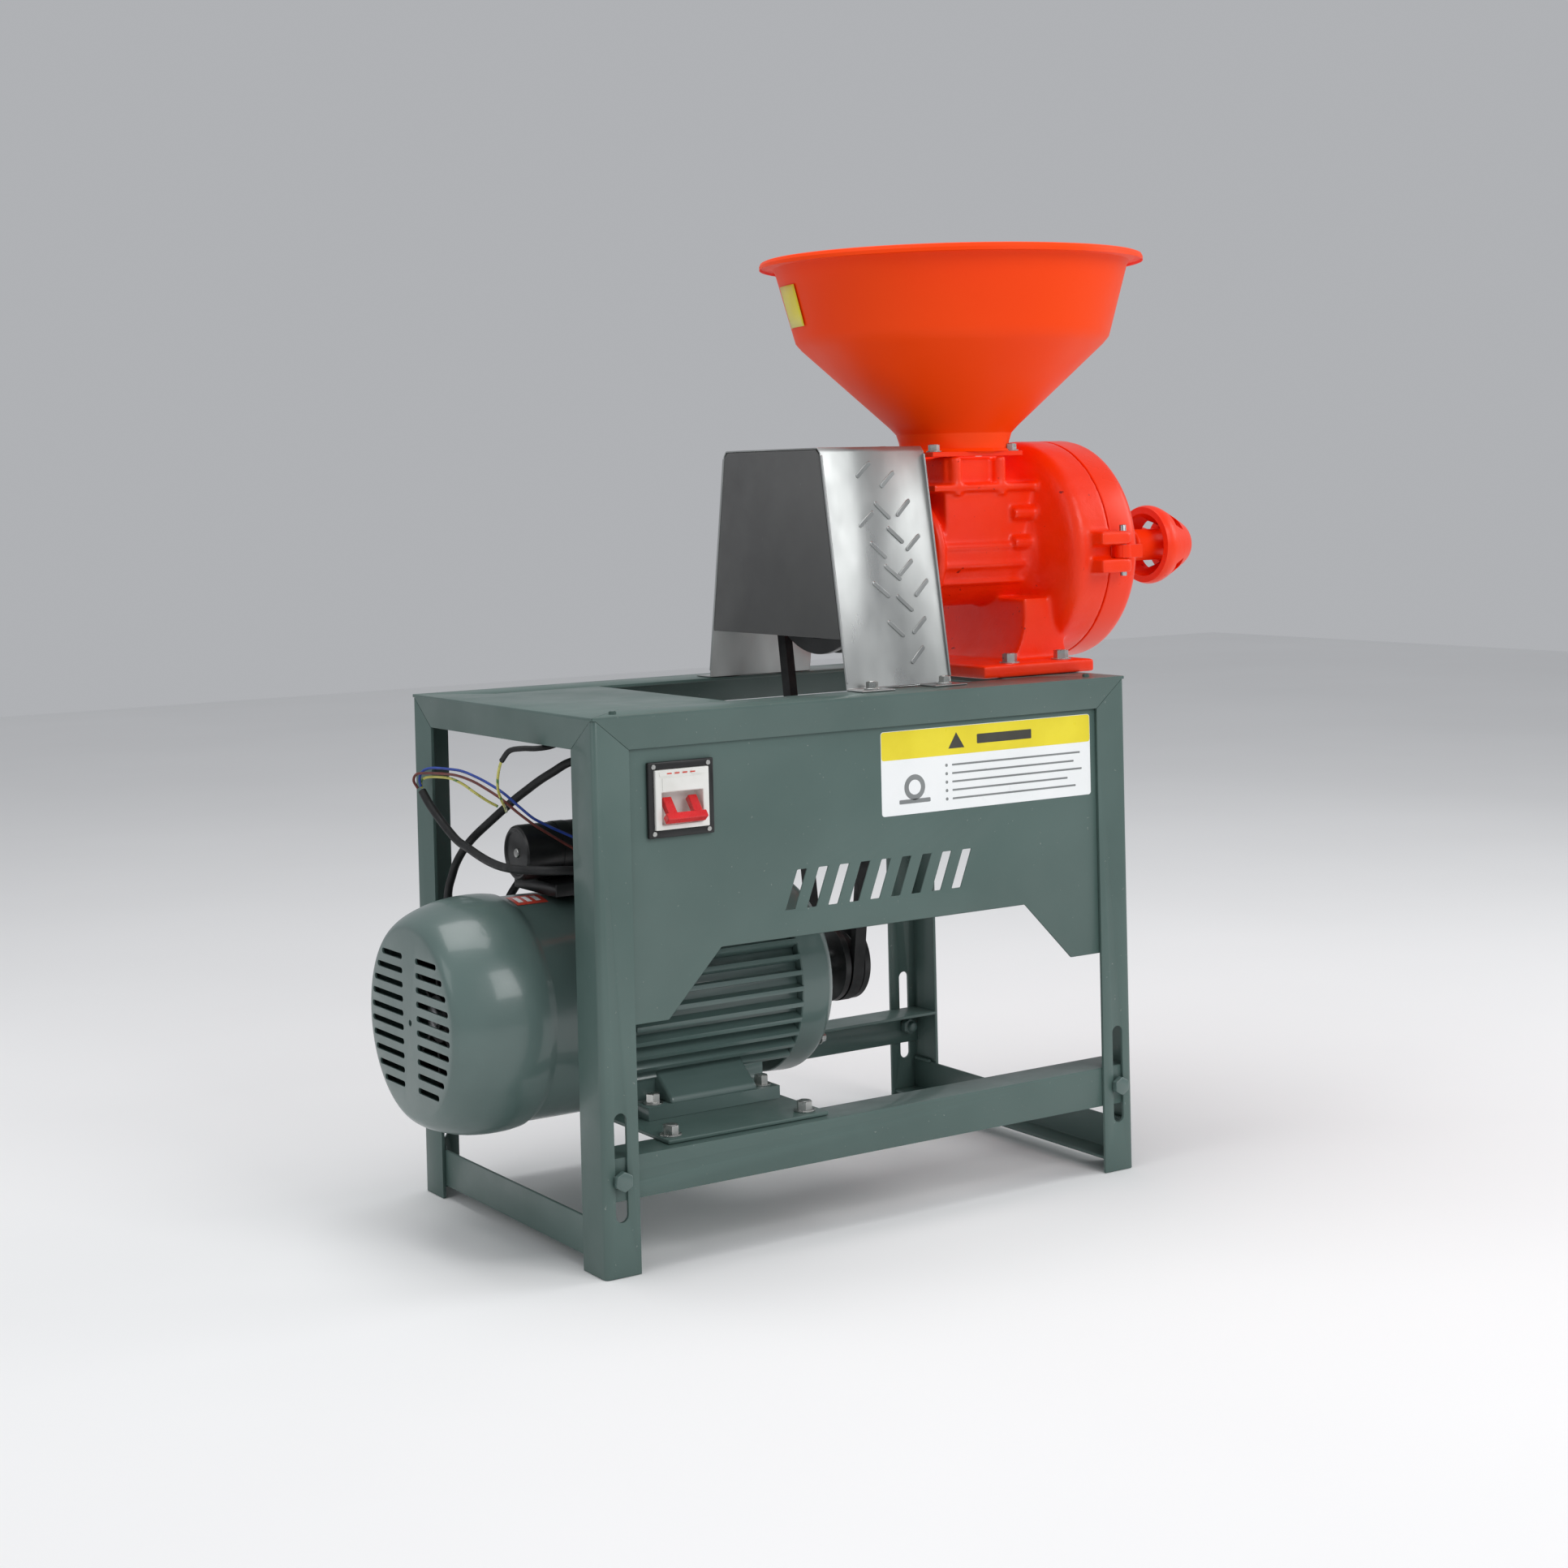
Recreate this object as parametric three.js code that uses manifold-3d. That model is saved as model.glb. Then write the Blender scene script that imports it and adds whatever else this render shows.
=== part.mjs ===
// Belt-driven disc mill for grain on an open steel stand: a single-phase motor hangs low in the
// stand, a V-belt under a sheet guard drives the mill on top, and grain falls from a round hopper.
// Millimetres, +Z up, X along the stand, Y from the switch side to the rear.

import * as THREE from 'three';
import { mergeVertices } from 'three/addons/utils/BufferGeometryUtils.js';
import Module from 'manifold-3d';

const wasm = await Module();
wasm.setup();

// ---------------------------------------------------------------- driving dimensions

const GAP = 0.3; // left between pieces that touch
const ROUND = { medium: 24, large: 36 }; // facets round a turned piece
const SHEET = 3; // wall of the stand's angles
const THIN = 1.5; // wall of panels and guards

const LENGTH = 600; // stand, along X
const DEPTH = 365; // stand, along Y
const HEIGHT = 490; // stand, top face
const HALF_LENGTH = LENGTH / 2;
const HALF_DEPTH = DEPTH / 2;
const POST_FACE = 36; // post flange seen from the front
const POST_SIDE = 40; // post flange seen from the end
const RAIL_DROP = 30; // height of the top rails
const FLANGE = 60; // width of the top rails' horizontal flange
const LEFT_DECK_END = -125; // where the closed part of the deck stops
const INNER_DEPTH = HALF_DEPTH - SHEET - GAP; // outer face of what lies behind the flanges

const SLOT = { x: 282, width: 12.5, low: 48, high: 144 }; // height slots in the posts
const CLAMP_Z = 85; // clamp bolts that hold the motor rails

const MOTOR_RAIL = { low: 66, high: 104, shelf: 40 };
const BASE_PLATE = { left: -225, right: -54, top: 108 };
const SHAFT_HEIGHT = 100; // motor frame size
const MOTOR_Z = BASE_PLATE.top + GAP + SHAFT_HEIGHT;
const MILL_Z = 612;

const BELT_X = 72;
const BELT_WIDTH = 13;
const BELT_THICK = 11;
const MOTOR_BELT_RADIUS = 29; // inside face of the belt on the motor pulley
const MILL_BELT_RADIUS = 85; // inside face of the belt on the mill pulley
const PULLEY_WIDTH = 30;

const COWL_END = -395; // leftmost point
const WHEEL_END = 541; // rightmost point
const HOPPER = { x: 233, rim: 197, top: 181, knee: 162, neck: 59, base: 55, wall: 1.6 };
const DRUM = { radius: 114, cavity: 106, back: 300, seam: 345 };
const HINGE = { x: 352, y: -124, radius: 8.6, pin: 3.5 };
const WING = { y: 122, hole: 5.2, shank: 4, wings: 398 };

// ---------------------------------------------------------------- materials

const paint = (color) => new THREE.MeshStandardMaterial({ color, roughness: 0.5, metalness: 0.1 });
const STAND_PAINT = paint(0x5e716c);
const MOTOR_PAINT = paint(0x5b706b);
const MILL_PAINT = paint(0xf03a05);
const GUARD_STEEL = new THREE.MeshStandardMaterial({ color: 0x8f9896, roughness: 0.35, metalness: 0.7 });
const STEEL = new THREE.MeshStandardMaterial({ color: 0xb9bcbd, roughness: 0.35, metalness: 0.9 });
const CAST_IRON = new THREE.MeshStandardMaterial({ color: 0x3b3c3d, roughness: 0.7, metalness: 0.6 });
const BLACK_PLASTIC = new THREE.MeshStandardMaterial({ color: 0x141414, roughness: 0.45, metalness: 0 });
const WHITE_PLASTIC = new THREE.MeshStandardMaterial({ color: 0xeeeeea, roughness: 0.4, metalness: 0 });
const RED_PLASTIC = new THREE.MeshStandardMaterial({ color: 0xc81a1e, roughness: 0.35, metalness: 0 });
const RUBBER = new THREE.MeshStandardMaterial({ color: 0x17181a, roughness: 0.85, metalness: 0 });
const BLUE = new THREE.MeshStandardMaterial({ color: 0x2c4fa0, roughness: 0.5, metalness: 0 });
const BROWN = new THREE.MeshStandardMaterial({ color: 0x5a2a22, roughness: 0.5, metalness: 0 });
const YELLOW = new THREE.MeshStandardMaterial({ color: 0xc7c56a, roughness: 0.5, metalness: 0 });

// ---------------------------------------------------------------- solids from three.js geometry

const signedVolume = (points, faces) => {
  const a = new THREE.Vector3();
  const b = new THREE.Vector3();
  const c = new THREE.Vector3();
  let sum = 0;
  for (let i = 0; i < faces.length; i += 3) {
    a.fromArray(points, faces[i] * 3);
    b.fromArray(points, faces[i + 1] * 3);
    c.fromArray(points, faces[i + 2] * 3);
    sum += a.dot(b.cross(c));
  }
  return sum;
};

// Welds a geometry's corners, drops its collapsed triangles and turns its faces outward.
function solid(geometry) {
  const bare = new THREE.BufferGeometry();
  bare.setAttribute('position', geometry.getAttribute('position'));
  bare.setIndex(geometry.getIndex());
  const welded = mergeVertices(bare, 1e-4);
  const points = Float32Array.from(welded.getAttribute('position').array);
  const index = welded.getIndex().array;
  const faces = [];
  for (let i = 0; i < index.length; i += 3) {
    const [a, b, c] = [index[i], index[i + 1], index[i + 2]];
    if (a !== b && b !== c && c !== a) faces.push(a, b, c);
  }
  if (signedVolume(points, faces) < 0) faces.reverse();
  const mesh = new wasm.Mesh({ numProp: 3, vertProperties: points, triVerts: Uint32Array.from(faces) });
  return new wasm.Manifold(mesh);
}

const join = (...solids) => solids.flat().reduce((whole, next) => whole.add(next));
const cut = (body, ...tools) => tools.flat().reduce((left, tool) => left.subtract(tool), body);

function box([x0, x1], [y0, y1], [z0, z1]) {
  const geometry = new THREE.BoxGeometry(x1 - x0, y1 - y0, z1 - z0);
  geometry.translate((x0 + x1) / 2, (y0 + y1) / 2, (z0 + z1) / 2);
  return solid(geometry);
}

// A round bar along one axis, from one coordinate to another, centred on the other two.
function bar(axis, radius, [from, to], [a, b] = [0, 0], sides = ROUND.medium) {
  const geometry = new THREE.CylinderGeometry(radius, radius, to - from, sides);
  const middle = (from + to) / 2;
  if (axis === 'x') geometry.rotateZ(-Math.PI / 2).translate(middle, a, b);
  if (axis === 'y') geometry.translate(a, middle, b);
  if (axis === 'z') geometry.rotateX(Math.PI / 2).translate(a, b, middle);
  return solid(geometry);
}

// A turned piece: its profile lists [place along the axis, radius].
function turned(axis, profile, sides, [a, b] = [0, 0]) {
  const points = profile.map(([along, radius]) => new THREE.Vector2(radius, along));
  const geometry = new THREE.LatheGeometry(points, sides);
  if (axis === 'x') geometry.rotateZ(-Math.PI / 2).translate(0, a, b);
  if (axis === 'z') geometry.rotateX(Math.PI / 2).translate(a, b, 0);
  return solid(geometry);
}

const ring = (axis, inner, outer, [from, to], sides) =>
  turned(axis, [[from, inner], [from, outer], [to, outer], [to, inner], [from, inner]], sides);

const outline = (points) => new THREE.Shape(points.map(([a, b]) => new THREE.Vector2(a, b)));

// A flat outline pushed along one axis; its coordinates are the other two axes in order.
function extruded(axis, shape, [from, to], curveSegments = 8) {
  const settings = { depth: to - from, bevelEnabled: false, curveSegments };
  const geometry = new THREE.ExtrudeGeometry(shape, settings);
  if (axis === 'x') {
    const turn = new THREE.Matrix4().makeBasis(
      new THREE.Vector3(0, 1, 0),
      new THREE.Vector3(0, 0, 1),
      new THREE.Vector3(1, 0, 0),
    );
    geometry.applyMatrix4(turn).translate(from, 0, 0);
  }
  if (axis === 'y') geometry.rotateX(Math.PI / 2).translate(0, to, 0);
  if (axis === 'z') geometry.translate(0, 0, from);
  return solid(geometry);
}

// A tube through the listed points, for cables.
function cable(radius, points, sides, steps) {
  const section = new THREE.Shape();
  for (let i = 0; i < sides; i += 1) {
    const angle = (2 * Math.PI * i) / sides;
    const corner = [radius * Math.cos(angle), radius * Math.sin(angle)];
    if (i === 0) section.moveTo(...corner);
    else section.lineTo(...corner);
  }
  const path = new THREE.CatmullRomCurve3(points.map((p) => new THREE.Vector3(...p)), false, 'centripetal');
  return solid(new THREE.ExtrudeGeometry(section, { steps, bevelEnabled: false, extrudePath: path }));
}

// ---------------------------------------------------------------- scene graph

const machine = new THREE.Group();
machine.position.x = -(COWL_END + WHEEL_END) / 2;
const stand = new THREE.Group();
const motor = new THREE.Group();
motor.position.z = MOTOR_Z;
const mill = new THREE.Group();
mill.position.z = MILL_Z;
machine.add(stand, motor, mill);

function add(group, name, body, material) {
  const source = body.getMesh();
  const geometry = new THREE.BufferGeometry();
  geometry.setAttribute('position', new THREE.BufferAttribute(source.vertProperties, 3));
  geometry.setIndex(new THREE.BufferAttribute(source.triVerts, 1));
  geometry.computeVertexNormals();
  const mesh = new THREE.Mesh(geometry, material);
  mesh.name = name;
  group.add(mesh);
}

const SIDES = [['left', -1], ['right', 1]];
const FACES = [['front', -1], ['rear', 1]];
const span = (a, b) => (a < b ? [a, b] : [b, a]);

// ---------------------------------------------------------------- stand

// An angle post: rounded outer corner, mitred top, one upright slot in the wide face.
function post(alongX, alongY) {
  const BEND = 5;
  const shape = new THREE.Shape();
  shape.moveTo(POST_FACE, 0);
  shape.lineTo(BEND, 0);
  shape.absarc(BEND, BEND, BEND, -Math.PI / 2, -Math.PI, true);
  shape.lineTo(0, POST_SIDE);
  shape.lineTo(SHEET, POST_SIDE);
  shape.lineTo(SHEET, SHEET);
  shape.lineTo(POST_FACE, SHEET);
  const placed = shape.getPoints(4).map((p) => [
    alongX * (HALF_LENGTH - p.x),
    alongY * (HALF_DEPTH - p.y),
  ]);
  const body = extruded('z', outline(placed), [0, HEIGHT - SHEET - GAP]);

  // What the mitred rails take away, a little larger than they are.
  const clear = GAP * 1.4;
  const wedge = (corner, run) => [
    [corner + 6, HEIGHT + (6 * RAIL_DROP) / run - clear],
    [corner - run - 1, HEIGHT - RAIL_DROP - RAIL_DROP / run - clear],
    [corner - run - 1, HEIGHT + 20],
    [corner + 6, HEIGHT + 20],
  ];
  const frontWedge = wedge(HALF_LENGTH, POST_FACE).map(([x, z]) => [alongX * x, z]);
  const sideWedge = wedge(HALF_DEPTH, POST_SIDE).map(([y, z]) => [alongY * y, z]);
  const skinY = span(alongY * (HALF_DEPTH + 1), alongY * (HALF_DEPTH - SHEET - 0.5));
  const skinX = span(alongX * (HALF_LENGTH + 1), alongX * (HALF_LENGTH - SHEET - 0.5));
  return cut(
    body,
    extruded('y', outline(frontWedge), skinY),
    extruded('x', outline(sideWedge), skinX),
    slot(alongX * SLOT.x, SLOT.low, SLOT.high, skinY),
  );
}

function slot(x, low, high, depth) {
  const radius = SLOT.width / 2;
  const shape = new THREE.Shape();
  shape.moveTo(x - radius, low + radius);
  shape.absarc(x, low + radius, radius, Math.PI, 2 * Math.PI, false);
  shape.absarc(x, high - radius, radius, 0, Math.PI, false);
  return extruded('y', shape, depth, 6);
}

// A front or rear top rail: a mitred upright flange under a mitred flat one.
function longRail(side) {
  const topHalf = HALF_LENGTH - (POST_FACE * SHEET) / RAIL_DROP;
  const lowHalf = HALF_LENGTH - POST_FACE;
  const upright = outline([
    [-topHalf, HEIGHT - SHEET],
    [topHalf, HEIGHT - SHEET],
    [lowHalf, HEIGHT - RAIL_DROP],
    [-lowHalf, HEIGHT - RAIL_DROP],
  ]);
  const inset = GAP / 2;
  const flat = outline([
    [-HALF_LENGTH + inset, side * HALF_DEPTH],
    [HALF_LENGTH - inset, side * HALF_DEPTH],
    [HALF_LENGTH - FLANGE - inset, side * (HALF_DEPTH - FLANGE)],
    [-HALF_LENGTH + FLANGE + inset, side * (HALF_DEPTH - FLANGE)],
  ]);
  const face = span(side * HALF_DEPTH, side * (HALF_DEPTH - SHEET));
  return join(
    extruded('y', upright, face),
    extruded('z', flat, [HEIGHT - SHEET, HEIGHT]),
  );
}

// An end rail whose flat flange reaches inward to innerX; the left one closes part of the deck.
function endRail(side, innerX) {
  const topHalf = HALF_DEPTH - (POST_SIDE * SHEET) / RAIL_DROP;
  const lowHalf = HALF_DEPTH - POST_SIDE;
  const upright = outline([
    [-topHalf, HEIGHT - SHEET],
    [topHalf, HEIGHT - SHEET],
    [lowHalf, HEIGHT - RAIL_DROP],
    [-lowHalf, HEIGHT - RAIL_DROP],
  ]);
  const inset = GAP;
  const edge = HALF_DEPTH - inset;
  const inner = HALF_DEPTH - FLANGE - inset;
  const flat = outline([
    [side * HALF_LENGTH, -edge],
    [side * (HALF_LENGTH - FLANGE), -inner],
    [innerX, -inner],
    [innerX, inner],
    [side * (HALF_LENGTH - FLANGE), inner],
    [side * HALF_LENGTH, edge],
  ]);
  const face = span(side * HALF_LENGTH, side * (HALF_LENGTH - SHEET));
  return join(
    extruded('x', upright, face),
    extruded('z', flat, [HEIGHT - SHEET, HEIGHT]),
  );
}

// A low angle between two posts, with its shelf turned inward at the bottom.
function lowRail(side) {
  const LOW = 12;
  const HIGH = 47;
  const SHELF = 30;
  const outer = side * (HALF_LENGTH - SHEET - GAP);
  const web = span(outer, outer - side * SHEET);
  const shelf = span(outer, outer - side * SHELF);
  const depth = [-INNER_DEPTH, INNER_DEPTH];
  return join(box(web, depth, [LOW, HIGH]), box(shelf, depth, [LOW, LOW + SHEET]));
}

const SWITCH = { x: -212.5, z: 413.5, width: 67, height: 67, inWidth: 55, inHeight: 53 };

// The switch panel: stepped lower edge, one window and a row of slanted vents.
function frontPanel() {
  const END = HALF_LENGTH - SHEET - GAP;
  const LOW = 218;
  const RAISED = 276;
  const face = [-INNER_DEPTH, -INNER_DEPTH + THIN];
  const sheet = outline([
    [-END, LOW], [-228, LOW], [-172, RAISED], [172, RAISED], [228, LOW], [END, LOW],
    [END, HEIGHT - SHEET - GAP], [-END, HEIGHT - SHEET - GAP],
  ]);
  const opening = box(
    [SWITCH.x - SWITCH.inWidth / 2 - 1, SWITCH.x + SWITCH.inWidth / 2 + 1],
    [-INNER_DEPTH - 1, -INNER_DEPTH + 4],
    [SWITCH.z - SWITCH.inHeight / 2 - 1, SWITCH.z + SWITCH.inHeight / 2 + 1],
  );
  const VENTS = 9;
  const PITCH = 23.5;
  const VENT = { left: -103, low: 301, high: 337, width: 10, lean: 14 };
  const vents = [];
  for (let i = 0; i < VENTS; i += 1) {
    const x = VENT.left + i * PITCH;
    const leaning = outline([
      [x, VENT.low],
      [x + VENT.width, VENT.low],
      [x + VENT.width + VENT.lean, VENT.high],
      [x + VENT.lean, VENT.high],
    ]);
    vents.push(extruded('y', leaning, [-INNER_DEPTH - 1, -INNER_DEPTH + 4]));
  }
  return cut(extruded('y', sheet, face), opening, vents);
}

// The breaker seen through the panel: a frame outside, a moulded body through the window.
function switchParts() {
  const outer = [SWITCH.x - SWITCH.width / 2, SWITCH.x + SWITCH.width / 2];
  const outerZ = [SWITCH.z - SWITCH.height / 2, SWITCH.z + SWITCH.height / 2];
  const inner = [SWITCH.x - SWITCH.inWidth / 2, SWITCH.x + SWITCH.inWidth / 2];
  const innerZ = [SWITCH.z - SWITCH.inHeight / 2, SWITCH.z + SWITCH.inHeight / 2];
  const wider = ([low, high], by) => [low - by, high + by];
  const front = -INNER_DEPTH - GAP;
  const bezel = cut(
    box(outer, [front - 4, front], outerZ),
    box(wider(inner, GAP), [front - 6, front + 2], wider(innerZ, GAP)),
  );
  const recess = box(wider(inner, -6), [front - 10, front + 9], [SWITCH.z - 20, SWITCH.z + 20]);
  const body = cut(box(inner, [front - 6, front + 55], innerZ), recess);

  // The twin lever, down at rest: a pivot barrel, two paddles and the bar that joins them.
  const pivot = [front + 2, SWITCH.z];
  const lean = THREE.MathUtils.degToRad(50);
  const paddle = (x) => {
    const geometry = new THREE.BoxGeometry(14, 22, 5);
    geometry.translate(0, -11, 0).rotateX(lean).translate(x, ...pivot);
    return solid(geometry);
  };
  const barGeometry = new THREE.BoxGeometry(41, 6, 7);
  barGeometry.translate(0, -21, 0).rotateX(lean).translate(SWITCH.x, ...pivot);
  const lever = join(
    bar('x', 6, wider(inner, -7), pivot, 16),
    paddle(SWITCH.x - 12),
    paddle(SWITCH.x + 12),
    solid(barGeometry),
  );
  return { bezel, body, lever };
}

for (const [endName, alongX] of SIDES) {
  for (const [faceName, alongY] of FACES) {
    add(stand, `post_${faceName}_${endName}`, post(alongX, alongY), STAND_PAINT);
  }
  add(stand, `low_rail_${endName}`, lowRail(alongX), STAND_PAINT);
}
for (const [faceName, side] of FACES) add(stand, `top_rail_${faceName}`, longRail(side), STAND_PAINT);
add(stand, 'deck_left', endRail(-1, LEFT_DECK_END), STAND_PAINT);

// The right end rail is notched where the meal falls through.
const chuteNotch = box([230, 283], [-52, 52], [HEIGHT - 10, HEIGHT + 10]);
add(stand, 'top_rail_right', cut(endRail(1, HALF_LENGTH - FLANGE), chuteNotch), STAND_PAINT);
const bearerDepth = HALF_DEPTH - FLANGE - GAP;
const bearer = box([200, 239.7], [-bearerDepth, bearerDepth], [HEIGHT - 6, HEIGHT]);
add(stand, 'mill_bearer', bearer, STAND_PAINT);
add(stand, 'front_panel', frontPanel(), STAND_PAINT);

const breaker = switchParts();
add(stand, 'switch_bezel', breaker.bezel, BLACK_PLASTIC);
add(stand, 'switch_body', breaker.body, WHITE_PLASTIC);
add(stand, 'switch_lever', breaker.lever, RED_PLASTIC);

// ---------------------------------------------------------------- motor carriage

// A rail behind the posts' slots, its shelf turned inward to carry the motor base.
function motorRail(side) {
  const END = HALF_LENGTH - SHEET - GAP;
  const outer = side * INNER_DEPTH;
  const web = box([-END, END], span(outer, outer - side * SHEET), [MOTOR_RAIL.low, MOTOR_RAIL.high]);
  const shelf = box(
    [-END, END],
    span(outer, outer - side * MOTOR_RAIL.shelf),
    [MOTOR_RAIL.high - SHEET, MOTOR_RAIL.high],
  );
  const reach = span(outer + side, outer - side * 5);
  const holes = SIDES.map(([, end]) => bar('y', 5.5, reach, [end * SLOT.x, CLAMP_Z], 16));
  return cut(join(web, shelf), holes);
}

// A hexagon bolt through slot and rail with its nut behind the rail.
function clampBolt(alongX, alongY) {
  const at = [alongX * SLOT.x, CLAMP_Z];
  const out = (d) => alongY * (HALF_DEPTH + d);
  const behind = alongY * (INNER_DEPTH - SHEET - GAP);
  return join(
    bar('y', 9.2, span(out(GAP), out(7)), at, 6),
    bar('y', 5, span(out(GAP + 1), behind - alongY * 14), at, 12),
    bar('y', 9.2, span(behind, behind - alongY * 8), at, 6),
  );
}

for (const [faceName, alongY] of FACES) {
  add(stand, `motor_rail_${faceName}`, motorRail(alongY), STAND_PAINT);
  for (const [endName, alongX] of SIDES) {
    add(stand, `clamp_bolt_${faceName}_${endName}`, clampBolt(alongX, alongY), STEEL);
  }
}
const plateDepth = [-168, 168];
const plateHeights = [MOTOR_RAIL.high + GAP, BASE_PLATE.top];
const basePlate = box([BASE_PLATE.left, BASE_PLATE.right], plateDepth, plateHeights);
add(stand, 'motor_base_plate', basePlate, STAND_PAINT);

// ---------------------------------------------------------------- motor, about its own axis

const HOUSING = { left: -214, right: -32, bore: 79, root: 86, tip: 98, fins: 40 };

// Fins stand out all round the body, save under the terminal tray and between the feet.
function finnedOutline() {
  const points = [];
  const step = (2 * Math.PI) / HOUSING.fins;
  const at = (radius, angle) => points.push([radius * Math.cos(angle), radius * Math.sin(angle)]);
  for (let i = 0; i < HOUSING.fins; i += 1) {
    const angle = i * step;
    const isTop = Math.sin(angle) > 0.94;
    const isFoot = Math.sin(angle) < -0.72;
    at(HOUSING.root, angle - step * 0.25);
    if (!isTop && !isFoot) {
      at(HOUSING.tip, angle - step * 0.14);
      at(HOUSING.tip, angle + step * 0.14);
    }
    at(HOUSING.root, angle + step * 0.25);
  }
  return outline(points);
}

function motorHousing() {
  const length = [HOUSING.left, HOUSING.right];
  const feet = FACES.flatMap(([, side]) => [
    box([-205, -62], span(side * 60, side * 98), [-SHAFT_HEIGHT, -SHAFT_HEIGHT + 12]),
    box([-205, -62], span(side * 60, side * 68), [-SHAFT_HEIGHT + 6, -50]),
  ]);
  const tray = box([-205, -40], [-36, 36], [78, 104.7]);
  const body = join(extruded('x', finnedOutline(), length), tray, feet);
  return cut(body, bar('x', HOUSING.bore, [length[0] - 1, length[1] + 1], [0, 0], ROUND.medium));
}

// The cowl: slotted flat end, bulging shoulder, straight skirt.
function fanCowl() {
  const SKIRT = -227;
  const shell = turned('x', [
    [COWL_END, 0], [COWL_END, 86], [-390, 92.5], [-378, 99.5], [-360, 105], [-340, 108.3], [-322, 109],
    [-303, 107.5], [-300, 103.5], [SKIRT, 103.5], [SKIRT, 101.5], [-301.5, 101.5], [-304.5, 105.4],
    [-322, 107], [-339.7, 106.3], [-359.3, 103], [-376.9, 97.7], [-388.4, 91.1], [COWL_END + 2, 85],
    [COWL_END + 2, 0],
  ], ROUND.large);
  const ROWS = 10;
  const ROW_PITCH = 13;
  const SLOTTED = 82; // radius of the slotted field
  const slots = [];
  for (let row = 0; row < ROWS; row += 1) {
    const z = (row - (ROWS - 1) / 2) * ROW_PITCH;
    const reach = Math.sqrt(SLOTTED ** 2 - z ** 2);
    for (const side of [-1, 1]) {
      const length = span(side * 14, side * reach);
      slots.push(box([COWL_END - 1, COWL_END + 4], length, [z - 2.2, z + 2.2]));
    }
  }
  return cut(shell, slots);
}

function coolingFan() {
  const BLADES = 8;
  const hub = bar('x', 22, [-368, -336]);
  const disc = bar('x', 62, [-340, -336]);
  const blades = [];
  for (let i = 0; i < BLADES; i += 1) {
    const geometry = new THREE.BoxGeometry(32, 74, 4);
    geometry.translate(-352, 54, 0).rotateX((2 * Math.PI * i) / BLADES);
    blades.push(solid(geometry));
  }
  const bore = bar('x', 12.3, [-370, -330], [0, 0], 20);
  return cut(join(hub, disc, blades), bore);
}

// A grooved pulley on the belt plane; with a hub radius its sides are hollowed to a web.
function pulley(rim, beltRadius, bore, hub) {
  const WEB = 6;
  const RIM_WALL = 6;
  const left = BELT_X - PULLEY_WIDTH / 2;
  const right = BELT_X + PULLEY_WIDTH / 2;
  const groove = BELT_WIDTH / 2 + GAP;
  const floor = beltRadius - GAP;
  const rimFloor = floor - RIM_WALL;
  const hollow = (side, end) => [
    [end, hub], [BELT_X + side * WEB, hub], [BELT_X + side * WEB, rimFloor], [end, rimFloor],
  ];
  const profile = [
    [left, bore], ...(hub ? hollow(-1, left) : []),
    [left, rim], [BELT_X - groove, rim], [BELT_X - groove, floor],
    [BELT_X + groove, floor], [BELT_X + groove, rim], [right, rim],
    ...(hub ? hollow(1, right).reverse() : []), [right, bore], [left, bore],
  ];
  return turned('x', profile, ROUND.medium);
}

add(motor, 'motor_housing', motorHousing(), MOTOR_PAINT);
const driveBell = turned('x', [
  [HOUSING.right + GAP, 13.5], [HOUSING.right + GAP, 96], [-6, 97], [6, 90], [18, 68], [24, 42],
  [29, 30], [46, 26], [46, 13.5], [HOUSING.right + GAP, 13.5],
], ROUND.medium);
add(motor, 'drive_end_bell', driveBell, MOTOR_PAINT);
const fanShield = turned('x', [
  [-238, 13.5], [-238, 100.5], [-229, 100.5], [-229, 95], [HOUSING.left - GAP, 95],
  [HOUSING.left - GAP, 13.5], [-238, 13.5],
], ROUND.medium);
add(motor, 'fan_end_shield', fanShield, MOTOR_PAINT);
add(motor, 'fan_cowl', fanCowl(), MOTOR_PAINT);
add(motor, 'stator', ring('x', 61, HOUSING.bore - 1, [-185, -55], ROUND.medium), CAST_IRON);
const rotor = join(bar('x', 12, [-372, 88]), bar('x', 59, [-180, -60], [0, 0], ROUND.medium));
add(motor, 'motor_rotor', rotor, STEEL);
add(motor, 'cooling_fan', coolingFan(), BLACK_PLASTIC);
add(motor, 'motor_pulley', pulley(39, MOTOR_BELT_RADIUS, 12.3), CAST_IRON);

const TRAY = { left: -265, right: -70, half: 42, low: 105, high: 117 };
const tray = box([TRAY.left, TRAY.right], [-TRAY.half, TRAY.half], [TRAY.low, TRAY.high]);
add(motor, 'terminal_tray', tray, BLACK_PLASTIC);
const CAPACITOR = { left: -284, right: -195, radius: 26 };
const capacitorZ = TRAY.high + GAP + CAPACITOR.radius;
const capacitor = turned('x', [
  [CAPACITOR.left, 0], [CAPACITOR.left, CAPACITOR.radius - 5], [CAPACITOR.left + 2, CAPACITOR.radius - 1.5],
  [CAPACITOR.left + 6, CAPACITOR.radius], [CAPACITOR.right, CAPACITOR.radius], [CAPACITOR.right, 0],
], ROUND.medium, [0, capacitorZ]);
add(motor, 'capacitor', capacitor, BLACK_PLASTIC);

// ---------------------------------------------------------------- belt and its guard

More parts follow.
